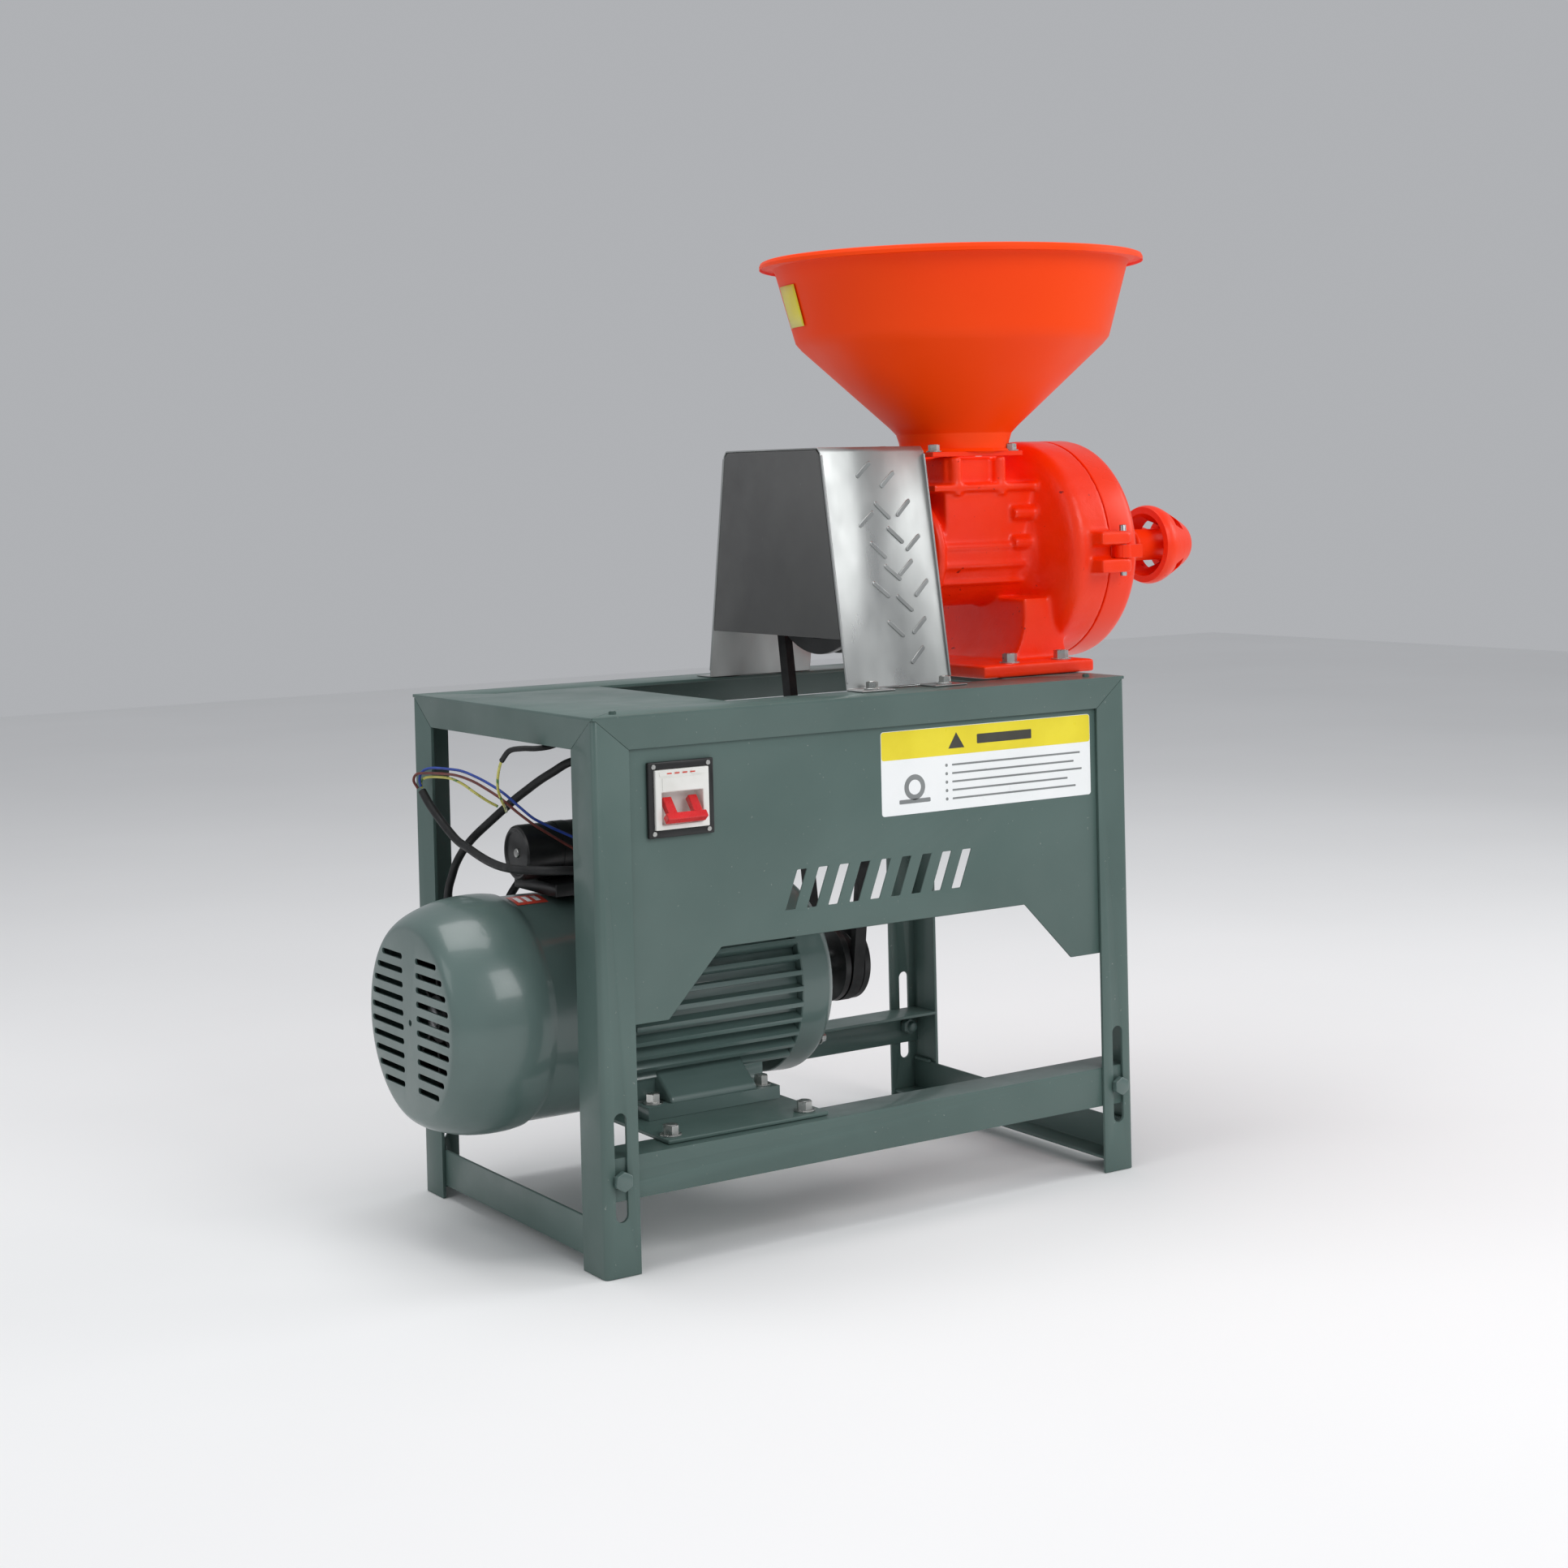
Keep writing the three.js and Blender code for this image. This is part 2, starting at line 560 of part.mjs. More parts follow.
// The belt is two arcs and the two straight runs that touch them.
function beltLoop(offset) {
  const low = { z: MOTOR_Z, radius: MOTOR_BELT_RADIUS + offset };
  const high = { z: MILL_Z, radius: MILL_BELT_RADIUS + offset };
  const lean = Math.asin((high.radius - low.radius) / (high.z - low.z));
  const shape = new THREE.Path();
  shape.moveTo(high.radius * Math.cos(-lean), high.z + high.radius * Math.sin(-lean));
  shape.absarc(0, high.z, high.radius, -lean, Math.PI + lean, false);
  shape.absarc(0, low.z, low.radius, Math.PI + lean, 2 * Math.PI - lean, false);
  return shape.getPoints(14);
}

const beltShape = new THREE.Shape(beltLoop(BELT_THICK));
beltShape.holes.push(new THREE.Path(beltLoop(0)));
const beltSpan = [BELT_X - BELT_WIDTH / 2, BELT_X + BELT_WIDTH / 2];
add(machine, 'v_belt', extruded('x', beltShape, beltSpan), RUBBER);

add(mill, 'mill_pulley', pulley(95, MILL_BELT_RADIUS, 15.3, 28), CAST_IRON);

const GUARD = {
  left: 7, right: 130, low: HEIGHT + GAP, top: 722, halfLow: 125, halfTop: 87, plateLow: 539,
};
const guardHalf = (z, inset) => {
  const slope = (GUARD.halfLow - GUARD.halfTop) / (GUARD.top - GUARD.low);
  return GUARD.halfLow - (z - GUARD.low) * slope - inset;
};

// The bent strip: feet turned outward on the deck, two leaning walls and the roof.
function guardStrip() {
  const FOOT = 26;
  const TAB = 38;
  const { low, top, left, right, halfLow } = GUARD;
  const outer = [
    [halfLow + FOOT, low], [halfLow + FOOT, low + THIN], [guardHalf(low + THIN, 0), low + THIN],
    [guardHalf(top - 5, 0), top - 5], [guardHalf(top, 4), top],
  ];
  const inner = [
    [guardHalf(top, 4.6), top - THIN], [guardHalf(top - 5, THIN), top - 5.5], [guardHalf(low, THIN), low],
  ];
  const mirrored = (side) => [...side].reverse().map(([y, z]) => [-y, z]);
  const strip = outline([...outer, ...mirrored(outer), ...mirrored(inner), ...inner]);
  // Only a tab at each end of the feet is left.
  const between = FACES.map(([, side]) => {
    const foot = span(side * (halfLow + 0.5), side * (halfLow + FOOT + 1));
    return box([left + TAB, right - TAB], foot, [low - 1, low + 3]);
  });
  return cut(extruded('x', strip, [left, right]), between);
}

function guardPlate(from) {
  const low = GUARD.plateLow;
  const high = GUARD.top - THIN - GAP - 0.2;
  const inset = THIN + GAP + 0.6;
  const half = (z) => guardHalf(z, inset);
  const shape = outline([
    [-half(low), low], [half(low), low], [half(high - 5), high - 5], [half(high) - 5, high],
    [-half(high) + 5, high], [-half(high - 5), high - 5],
  ]);
  return extruded('x', shape, [from, from + THIN]);
}

add(machine, 'belt_guard', guardStrip(), GUARD_STEEL);
add(machine, 'guard_plate_left', guardPlate(GUARD.left), GUARD_STEEL);
const shaftHole = bar('x', 30, [GUARD.right - 5, GUARD.right + 5], [0, MILL_Z]);
add(machine, 'guard_plate_right', cut(guardPlate(GUARD.right - THIN), shaftHole), GUARD_STEEL);

// ---------------------------------------------------------------- mill, about its own axis

const DECK = HEIGHT - MILL_Z + GAP; // underside of the foot
const AUGER_BORE = 36;
const BEARING = { inner: 15.3, outer: 31, width: 16 };

// The casting: bearing barrel, inlet box, back of the drum, pedestal, foot and lugs.
function millCasting() {
  const barrel = turned('x', [
    [140, 0], [140, 46], [148, 54], [165, 54], [165, 61], [176, 61], [176, 54], [284, 54], [290, 64],
    [DRUM.back, 104], [303, 111], [308, DRUM.radius], [DRUM.seam - GAP, DRUM.radius], [DRUM.seam - GAP, 0],
  ], ROUND.large);
  const shoulder = box([182, 292], [-52, 52], [0, 66]);
  const ledge = box([165, 297], [-58, 58], [64, 71]);
  const throat = box([186, 261], [-46, 46], [70, 99]);
  const foot = box([178, 318], [-116, 116], [DECK, DECK + 13]);

  const pedestalShape = new THREE.Shape();
  pedestalShape.moveTo(236, DECK + 5);
  pedestalShape.quadraticCurveTo(264, DECK + 32, 262, DECK + 75);
  pedestalShape.lineTo(312, DECK + 75);
  pedestalShape.lineTo(316, DECK + 5);
  const pedestal = extruded('y', pedestalShape, [-74, 74], 6);

  const ribs = [];
  for (const side of [-1, 1]) {
    for (const degrees of [-32, -12, 8]) {
      const geometry = new THREE.BoxGeometry(114, 8, 5);
      const angle = THREE.MathUtils.degToRad(degrees);
      geometry.translate(233, 53, 0).rotateX(side > 0 ? angle : Math.PI - angle);
      ribs.push(solid(geometry));
    }
  }
  const arms = [[6, 20], [-22, -8]].flatMap((height) => [
    box([320, DRUM.seam - GAP], [HINGE.y - HINGE.radius, -96], height),
    box([DRUM.seam - 1, HINGE.x], [HINGE.y - HINGE.radius, HINGE.y + HINGE.radius], height),
    bar('z', HINGE.radius, height, [HINGE.x, HINGE.y], 20),
  ]);
  const wingLug = box([326, DRUM.seam - GAP], [96, WING.y + 12], [-12, 12]);
  const body = join(barrel, shoulder, ledge, throat, foot, pedestal, ribs, arms, wingLug);

  const passage = outline([
    [246, DECK - 2], [281, DECK - 2], [325, DECK + 30], [325, DECK + 70], [309, DECK + 70],
    [264, DECK + 26],
  ]);
  return cut(
    body,
    turned('x', [
      [309, 0], [309, 102], [313, DRUM.cavity], [DRUM.seam + 1, DRUM.cavity], [DRUM.seam + 1, 0],
    ], ROUND.large),
    bar('x', BEARING.outer + GAP, [138, 182]),
    bar('x', 24, [181, 186]),
    bar('x', AUGER_BORE, [184, 310]),
    box([196, 252], [-34, 34], [10, 101]),
    box([189.7, 257.3], [-41.3, 48], [74, 78.2]),
    extruded('y', passage, [-45, 45]),
    bar('z', HINGE.pin + GAP, [-24, 22], [HINGE.x, HINGE.y], 16),
    bar('x', WING.hole, [333, DRUM.seam + 1], [WING.y, 0], 16),
  );
}

// Spiral flight wound on a sleeve that pushes the grain toward the burrs.
function augerFlight(from, pitch, turns, inner, outer, thick) {
  const STEPS = 12;
  const count = STEPS * turns;
  const points = [];
  for (let i = 0; i <= count; i += 1) {
    const angle = (2 * Math.PI * i) / STEPS;
    const x = from + (pitch * i) / STEPS;
    for (const [radius, along] of [[inner, 0], [outer, 0], [outer, thick], [inner, thick]]) {
      points.push(x + along, radius * Math.cos(angle), radius * Math.sin(angle));
    }
  }
  const faces = [];
  for (let i = 0; i < count; i += 1) {
    for (let side = 0; side < 4; side += 1) {
      const a = i * 4 + side;
      const b = i * 4 + ((side + 1) % 4);
      faces.push(a, b, b + 4, a, b + 4, a + 4);
    }
  }
  const last = count * 4;
  faces.push(0, 2, 1, 0, 3, 2, last, last + 1, last + 2, last, last + 2, last + 3);
  const geometry = new THREE.BufferGeometry();
  geometry.setAttribute('position', new THREE.Float32BufferAttribute(points, 3));
  geometry.setIndex(faces);
  return solid(geometry);
}

function feedAuger() {
  const sleeve = bar('x', 19, [187, 303]);
  const bore = bar('x', BEARING.inner, [186, 304]);
  return cut(join(sleeve, augerFlight(192, 32, 3, 17, 33, 5)), bore);
}

const BURR = { outer: 90, inner: 32, plate: 311.5, face: 331, gap: 1.5 };

function rotatingBurr() {
  const carrier = ring('x', BEARING.inner, 88, [BURR.plate, 322], ROUND.large);
  const grinding = ring('x', BURR.inner, BURR.outer, [320, BURR.face], ROUND.large);
  return join(carrier, grinding);
}

const STATIONARY = { front: BURR.face + BURR.gap, back: BURR.face + BURR.gap + 10.5 };
const CARRIER_END = 361.7;

function burrCarrier() {
  const plate = bar('x', 88, [STATIONARY.back + GAP, 353], [0, 0], ROUND.large);
  return join(plate, bar('x', 16, [352, CARRIER_END]));
}

function drumCover() {
  const BOSS = 425;
  const shell = turned('x', [
    [DRUM.seam, 0], [DRUM.seam, DRUM.radius], [371, DRUM.radius], [381, 110], [388, 101], [392, 87],
    [395, 50], [397, 31], [400, 26], [BOSS, 24], [BOSS, 0],
  ], ROUND.large);
  const knuckle = [-7.7, 5.7];
  const arm = box([HINGE.x, 372], [HINGE.y - HINGE.radius, -104], knuckle);
  const barrel = bar('z', HINGE.radius, knuckle, [HINGE.x, HINGE.y], 20);
  const wingLug = box([DRUM.seam, 360], [98, WING.y + 12], [-12, 12]);
  const CAVITY = 104;
  return cut(
    join(shell, arm, barrel, wingLug),
    turned('x', [
      [DRUM.seam - 1, 0], [DRUM.seam - 1, CAVITY], [366, CAVITY], [369, 98], [369, 0],
    ], ROUND.large),
    bar('x', 10.6, [368, BOSS + 1]),
    bar('z', HINGE.pin + GAP, [-9, 7], [HINGE.x, HINGE.y], 16),
    bar('x', WING.shank + 0.6, [DRUM.seam - 1, 361], [WING.y, 0], 16),
  );
}

function wingBolt() {
  const at = [WING.y, 0];
  const wings = FACES.map(([, side]) => {
    const geometry = new THREE.BoxGeometry(16, 5, 17);
    geometry.translate(WING.wings, WING.y, side * 12);
    return solid(geometry);
  });
  const shank = bar('x', WING.shank, [335, 364], at, 16);
  const head = bar('x', 7.5, [360 + GAP, WING.wings - 4], at, 16);
  return join(shank, head, wings);
}

function handwheel() {
  const shell = turned('x', [
    [486, 34], [486, 41], [494, 42.5], [501, 41], [535, 24], [WHEEL_END, 17], [WHEEL_END, 0], [530, 0],
    [530, 16], [497, 33], [486, 34],
  ], ROUND.medium);
  const hub = bar('x', 17, [466, WHEEL_END - 1]);
  const WINDOWS = 4;
  const windows = [];
  for (let i = 0; i < WINDOWS; i += 1) {
    const geometry = new THREE.BoxGeometry(24, 26, 26);
    geometry.translate(514, 34, 0).rotateX((2 * Math.PI * (i + 0.5)) / WINDOWS);
    windows.push(solid(geometry));
  }
  const core = bar('x', 18, [480, WHEEL_END]);
  return cut(join(cut(shell, windows.map((w) => cut(w, core))), hub), bar('x', 10.3, [465, 480]));
}

function hopper() {
  const z = (height) => height - MILL_Z;
  const { rim, top, knee, neck, base, wall } = HOPPER;
  const shell = turned('z', [
    [z(714), base], [z(735), neck], [z(831), knee], [z(905), top], [z(911), top + 3], [z(911.5), rim - 3],
    [z(908), rim - 2.5], [z(908), rim], [z(913), rim], [z(915), rim - 2], [z(915), top + 2],
    [z(906), top - wall], [z(831.8), knee - wall], [z(735.8), neck - wall], [z(714), base - wall],
    [z(714), base],
  ], ROUND.large, [HOPPER.x, 0]);
  const flange = box([166, 280], [-54, 54], [z(711.3), z(716)]);
  const mouth = bar('z', base - wall, [z(700), z(720)], [HOPPER.x, 0], ROUND.large);
  return join(shell, cut(flange, mouth));
}

function feedGate() {
  const plate = box([190, 257], [-41, 78], [74.4, 77.8]);
  const lip = box([205, 242], [74, 78], [74.4, 92]);
  return join(plate, lip);
}

add(mill, 'mill_casting', millCasting(), MILL_PAINT);
add(mill, 'bearing_cap', ring('x', 17, 48, [133.7, 140 - GAP], ROUND.medium), MILL_PAINT);
add(mill, 'bearing_outboard', ring('x', BEARING.inner, BEARING.outer, [146, 162], ROUND.medium), STEEL);
add(mill, 'bearing_inboard', ring('x', BEARING.inner, BEARING.outer, [165, 181], ROUND.medium), STEEL);
add(mill, 'mill_shaft', bar('x', 15, [50, 321]), STEEL);
add(mill, 'feed_auger', feedAuger(), CAST_IRON);
add(mill, 'rotating_burr', rotatingBurr(), CAST_IRON);
const stationaryBurr = ring('x', BURR.inner, BURR.outer, [STATIONARY.front, STATIONARY.back], ROUND.large);
add(mill, 'stationary_burr', stationaryBurr, CAST_IRON);
add(mill, 'burr_carrier', burrCarrier(), CAST_IRON);
add(mill, 'drum_cover', drumCover(), MILL_PAINT);
add(mill, 'hinge_pin', bar('z', HINGE.pin, [-26, 26], [HINGE.x, HINGE.y], 16), STEEL);
add(mill, 'wing_bolt', wingBolt(), STEEL);
add(mill, 'adjusting_screw', bar('x', 10, [CARRIER_END + GAP, 479]), STEEL);
add(mill, 'lock_nut', cut(bar('x', 17, [427, 439], [0, 0], 6), bar('x', 10.3, [426, 440])), STEEL);
add(mill, 'handwheel', handwheel(), MILL_PAINT);
add(mill, 'hopper', hopper(), MILL_PAINT);
add(mill, 'feed_gate', feedGate(), MILL_PAINT);

// ---------------------------------------------------------------- leads

// The sheathed lead from the breaker, behind the cowl, round and into the foot of the tray.
const switchLead = [
  [-212, -124, 425], [-213, -107, 427], [-222, -86, 436], [-236, -64, 441], [-249, -45, 437],
  [-256, -25, 427], [-260, -6, 418], [-264, 12, 408], [-269, 30, 397], [-275, 46, 385],
  [-282, 60, 373], [-288, 73, 362], [-292, 84, 352], [-295, 94, 341], [-297, 102, 330],
  [-298, 108, 319], [-299, 114, 306], [-297, 120, 289], [-288, 124, 273], [-273, 125, 263],
  [-255, 123, 264], [-241, 118, 277], [-234, 108, 297], [-230, 91, 313], [-227, 68, 319],
  [-225, 43, 319],
];

// The supply lead: from the tray, low behind the cowl, up to where its sheath is stripped back.
const supplyLead = [
  [-178, -43, 319], [-179, -60, 320], [-190, -80, 324], [-213, -92, 332], [-244, -96, 340],
  [-272, -93, 345], [-292, -86, 346], [-305, -71, 346], [-310, -50, 345], [-309, -20, 344],
  [-307, 8, 345], [-306, 32, 348], [-305, 55, 352], [-306, 76, 357], [-306, 96, 365],
  [-307, 114, 375], [-309, 130, 387], [-311, 142, 399],
];

// The bare cores of the supply lead, from the end of its sheath back to the tray.
const coreBlue = [
  [-311.5, 143.6, 403.4], [-311.5, 146.5, 410], [-310, 143.5, 417.5], [-307, 130, 422],
  [-305, 96, 423.8], [-304, 68, 424], [-304.5, 38, 421.3], [-303, 15, 417], [-296, -1, 409],
  [-286, -13, 396.5], [-278, -24, 386.5], [-267, -25, 380], [-256, -26, 374], [-244, -28, 368],
  [-226, -32, 358], [-209, -35, 344], [-204, -35, 327],
];
const coreBrown = [
  [-313.6, 146, 401.6], [-316.5, 149, 409], [-315.5, 144.5, 415.5], [-312, 130, 417.5],
  [-309, 96, 419.5], [-308.5, 68, 420], [-308, 38, 417.5], [-306, 15, 412.5], [-299.5, -4, 404],
  [-290, -17, 392], [-281, -28.5, 382], [-270, -29, 374.5], [-259, -29, 367.5], [-248, -31, 360],
  [-232, -36, 349], [-222, -37, 337], [-220, -37, 327],
];

// The earth core stops just short of the breaker lead, where it is joined.
const coreEarth = [
  [-309.4, 146.2, 401.6], [-308.6, 149, 408], [-308, 142, 411.5], [-306, 130, 413.5],
  [-304, 96, 415], [-302, 72, 411.5], [-298, 54, 404.5], [-289, 46, 396.5], [-281, 40, 391],
];

// The earth lead from under the deck, below the end flange, to the same join.
const earthLead = [
  [-240, -96, 484.8], [-256, -95, 477], [-275, -92, 465], [-290, -89, 458.5], [-304, -85, 457],
  [-313, -76, 457], [-320, -64, 454.5], [-323, -54, 445], [-322, -44, 431], [-316, -31, 417],
  [-307, -19, 405.5], [-292, 3, 394], [-280, 25, 387.5],
];

const SHEATH = { radius: 4, sides: 8, steps: 36 };
const CORE = { radius: 1.3, sides: 6, steps: 26 };
const sheathed = (points) => cable(SHEATH.radius, points, SHEATH.sides, SHEATH.steps);
const core = (points) => cable(CORE.radius, points, CORE.sides, CORE.steps);
add(machine, 'switch_lead', sheathed(switchLead), RUBBER);
add(machine, 'supply_lead', sheathed(supplyLead), RUBBER);
add(machine, 'core_blue', core(coreBlue), BLUE);
add(machine, 'core_brown', core(coreBrown), BROWN);
add(machine, 'core_earth', core(coreEarth), YELLOW);
add(machine, 'earth_lead', core(earthLead), YELLOW);

export default machine;
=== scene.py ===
"""The looks of a belt-driven disc flour mill on an angle-iron stand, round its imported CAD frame."""

import math
import random

import bmesh
import bpy
from mathutils import Matrix, Vector


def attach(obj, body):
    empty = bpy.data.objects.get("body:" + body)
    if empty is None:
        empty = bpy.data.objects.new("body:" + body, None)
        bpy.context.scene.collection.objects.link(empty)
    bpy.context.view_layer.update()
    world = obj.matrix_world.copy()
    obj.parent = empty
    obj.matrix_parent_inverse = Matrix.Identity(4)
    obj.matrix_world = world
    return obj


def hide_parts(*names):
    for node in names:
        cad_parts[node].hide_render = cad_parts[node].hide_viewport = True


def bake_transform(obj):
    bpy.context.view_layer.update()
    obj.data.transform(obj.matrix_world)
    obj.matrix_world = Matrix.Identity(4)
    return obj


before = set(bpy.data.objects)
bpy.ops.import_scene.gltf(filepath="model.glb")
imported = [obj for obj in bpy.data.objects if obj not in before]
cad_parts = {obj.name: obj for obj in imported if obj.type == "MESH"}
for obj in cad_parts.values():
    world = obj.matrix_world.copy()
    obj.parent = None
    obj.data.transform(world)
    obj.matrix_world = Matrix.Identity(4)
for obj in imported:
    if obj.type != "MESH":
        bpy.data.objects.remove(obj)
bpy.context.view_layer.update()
random.seed(7)

# ------------------------------------------------------------------ driving sizes, in millimetres
# Lengths along X are counted from the belt side of the mill's foot, as in the CAD source;
# the record's own zero lies ORIGIN further along.
ORIGIN = 73.0
MILL_Z = 612.0
MOTOR_Z = 208.3
DECK_Z = 490.0
HALF_DEPTH = 182.5
PANEL_Y = -179.2  # outer face of the switch panel
FINE = 96  # facets round a large turned piece
MEDIUM = 48
SMALL = 24
HOPPER_X = 233.0
BELT_X = 72.0
HINGE = (352, -124)  # the cover's pin, in plan
GUARD_FOOT = 490.3
GUARD_HALF_DEPTH = 125
GUARD_SLOPE = 38 / 231.7  # how fast the guard's two walls lean in
CORE_JOINT_LOW = (0, 0, 0.330)  # leads bend between these two heights, in metres; lead() uses them only as a flag and bends nothing
CORE_JOINT_HIGH = (0, 0, 0.470)


def place(x, y, z):
    """A point in the record's frame, in metres."""
    return Vector(((x - ORIGIN) / 1000, y / 1000, z / 1000))


def along(axis, t, a, b):
    """The point t along an axis, with a and b across it."""
    return {"x": place(t, a, b), "y": place(a, t, b), "z": place(a, b, t)}[axis]


# ------------------------------------------------------------------ camera
CAMERA_AT = Vector((-1.43741, -2.13173, 0.69330))
YAW = math.radians(-33.0146)
PITCH = math.radians(1.4965)
ROLL = math.radians(-1.3468)
FOCAL_LENGTH = 59.02
SENSOR_WIDTH = 36
SHIFT_UP = -0.1521


def build_camera():
    """A level camera turned, tipped and rolled a little, with a vertical shift."""
    level = Vector((math.cos(YAW), math.sin(YAW), 0))
    ahead = Vector((-math.sin(YAW), math.cos(YAW), 0))
    forward = ahead * math.cos(PITCH) - Vector((0, 0, 1)) * math.sin(PITCH)
    lift = ahead * math.sin(PITCH) + Vector((0, 0, 1)) * math.cos(PITCH)
    right = level * math.cos(ROLL) + lift * math.sin(ROLL)
    up = lift * math.cos(ROLL) - level * math.sin(ROLL)
    data = bpy.data.cameras.new("camera")
    data.lens = FOCAL_LENGTH
    data.sensor_width = SENSOR_WIDTH
    data.shift_y = SHIFT_UP
    camera = bpy.data.objects.new("camera", data)
    turned = Matrix((right, up, -forward)).transposed().to_4x4()
    turned.translation = CAMERA_AT
    camera.matrix_world = turned
    bpy.context.scene.collection.objects.link(camera)
    bpy.context.scene.camera = camera


def area_light(name, at, towards, size, power):
    data = bpy.data.lights.new(name, "AREA")
    data.size = size
    data.energy = power
    light = bpy.data.objects.new(name, data)
    light.location = at
    light.rotation_euler = (Vector(towards) - Vector(at)).to_track_quat("-Z", "Y").to_euler()
    bpy.context.scene.collection.objects.link(light)


# ------------------------------------------------------------------ materials
def linear(red, green, blue):
    """An 8-bit display colour as linear light."""
    values = []
    for value in (red, green, blue):
        share = value / 255
        values.append(share / 12.92 if share <= 0.04045 else ((share + 0.055) / 1.055) ** 2.4)
    return (*values, 1.0)


class Finish:
    """Builds one node material step by step."""

    SHADES = (0.3, 0.7)  # the part of a noise that is spread over the full change

    def __init__(self, name, roughness, metallic=0.0, coat=0.0, specular=0.5):
        self.material = bpy.data.materials.new(name)
        self.material.use_nodes = True
        self.nodes = self.material.node_tree.nodes
        self.links = self.material.node_tree.links
        self.shader = self.nodes["Principled BSDF"]
        self.shader.inputs["Metallic"].default_value = metallic
        self.shader.inputs["Roughness"].default_value = roughness
        self.shader.inputs["Coat Weight"].default_value = coat
        self.shader.inputs["Coat Roughness"].default_value = 0.12
        self.shader.inputs["Specular IOR Level"].default_value = specular
        self.place = self.nodes.new("ShaderNodeTexCoord")
        self.base = None
        self.normal = None

    def noise(self, scale, detail=4.0, stretch=None):
        source = self.place.outputs["Object"]
        if stretch:
            mapping = self.nodes.new("ShaderNodeMapping")
            mapping.inputs["Scale"].default_value = stretch
            self.links.new(source, mapping.inputs["Vector"])
            source = mapping.outputs["Vector"]
        noise = self.nodes.new("ShaderNodeTexNoise")
        noise.inputs["Scale"].default_value = scale
        noise.inputs["Detail"].default_value = detail
        self.links.new(source, noise.inputs["Vector"])
        return noise.outputs["Fac"]

    def ramp(self, source, positions, colours):
        ramp = self.nodes.new("ShaderNodeValToRGB")
        for stop, position, colour in zip(ramp.color_ramp.elements, positions, colours):
            stop.position = position
            stop.color = colour
        self.links.new(source, ramp.inputs["Fac"])
        return ramp.outputs["Color"]

    def colour(self, dark, light, scale, detail=4.0, stretch=None):
        """The base colour wanders between two shades."""
        mixed = self.ramp(self.noise(scale, detail, stretch), self.SHADES, (dark, light))
        self.links.new(mixed, self.shader.inputs["Base Color"])
        self.base = mixed
        return self

    def specks(self, tint, scale, amount):
        """Small marks of another colour, such as chips, dust or scale."""
        edge = (amount, min(1.0, amount + 0.06))
        grey = self.ramp(self.noise(scale, 6.0), edge, ((0, 0, 0, 1), (1, 1, 1, 1)))
        mix = self.nodes.new("ShaderNodeMix")
        mix.data_type = "RGBA"
        self.links.new(grey, mix.inputs["Factor"])
        self.links.new(self.base, mix.inputs["A"])
        mix.inputs["B"].default_value = tint
        self.links.new(mix.outputs["Result"], self.shader.inputs["Base Color"])
        self.base = mix.outputs["Result"]
        return self

    def gloss(self, smooth, rough, scale, stretch=None):
        """Roughness wanders between two values."""
        span = self.nodes.new("ShaderNodeMapRange")
        span.inputs["From Min"].default_value = self.SHADES[0]
        span.inputs["From Max"].default_value = self.SHADES[1]
        span.inputs["To Min"].default_value = smooth
        span.inputs["To Max"].default_value = rough
        self.links.new(self.noise(scale, 3.0, stretch), span.inputs["Value"])
        self.links.new(span.outputs["Result"], self.shader.inputs["Roughness"])
        return self

    def bump(self, scale, depth, detail=3.0, stretch=None, strength=0.5):
        """Relief of a given depth in millimetres; calls stack."""
        bump = self.nodes.new("ShaderNodeBump")
        bump.inputs["Distance"].default_value = depth / 1000
        bump.inputs["Strength"].default_value = strength
        self.links.new(self.noise(scale, detail, stretch), bump.inputs["Height"])
        if self.normal:
            self.links.new(self.normal, bump.inputs["Normal"])
        self.normal = bump.outputs["Normal"]
        self.links.new(self.normal, self.shader.inputs["Normal"])
        return self


def stand_paint():
    finish = Finish("stand_paint", 0.42, coat=0.15)
    finish.colour(linear(73, 95, 90), linear(84, 106, 101), 6.0)
    finish.specks(linear(132, 140, 136), 260.0, 0.71).gloss(0.36, 0.55, 18.0)
    return finish.bump(900.0, 0.08).bump(60.0, 0.15).material


def motor_paint():
    finish = Finish("motor_paint", 0.34, coat=0.5)
    finish.colour(linear(80, 101, 97), linear(91, 112, 108), 9.0)
    finish.gloss(0.30, 0.42, 25.0)
    return finish.bump(700.0, 0.10).bump(90.0, 0.25).material


def cast_red():
    finish = Finish("cast_red", 0.32, specular=0.4)
    finish.colour(linear(250, 46, 0), linear(255, 58, 0), 14.0)
    finish.specks(linear(150, 18, 4), 130.0, 0.70).gloss(0.28, 0.48, 40.0)
    return finish.bump(420.0, 0.35).bump(110.0, 0.7).material


def smooth_red():
    finish = Finish("smooth_red", 0.28, specular=0.35)
    finish.colour(linear(252, 50, 0), linear(255, 60, 0), 5.0)
    finish.gloss(0.26, 0.38, 22.0)
    return finish.bump(600.0, 0.05).bump(35.0, 0.2).material


def hopper_red():
    finish = Finish("hopper_red", 0.45, specular=0.18)
    finish.colour(linear(255, 64, 0), linear(255, 74, 0), 3.0)
    finish.gloss(0.38, 0.5, 14.0)
    return finish.bump(800.0, 0.05).bump(12.0, 0.3).material


def guard_grey():
    finish = Finish("guard_grey", 0.5)
    finish.colour(linear(80, 80, 80), linear(90, 90, 89), 7.0)
    finish.specks(linear(110, 110, 108), 200.0, 0.72).gloss(0.44, 0.6, 30.0)
    return finish.bump(900.0, 0.06).material


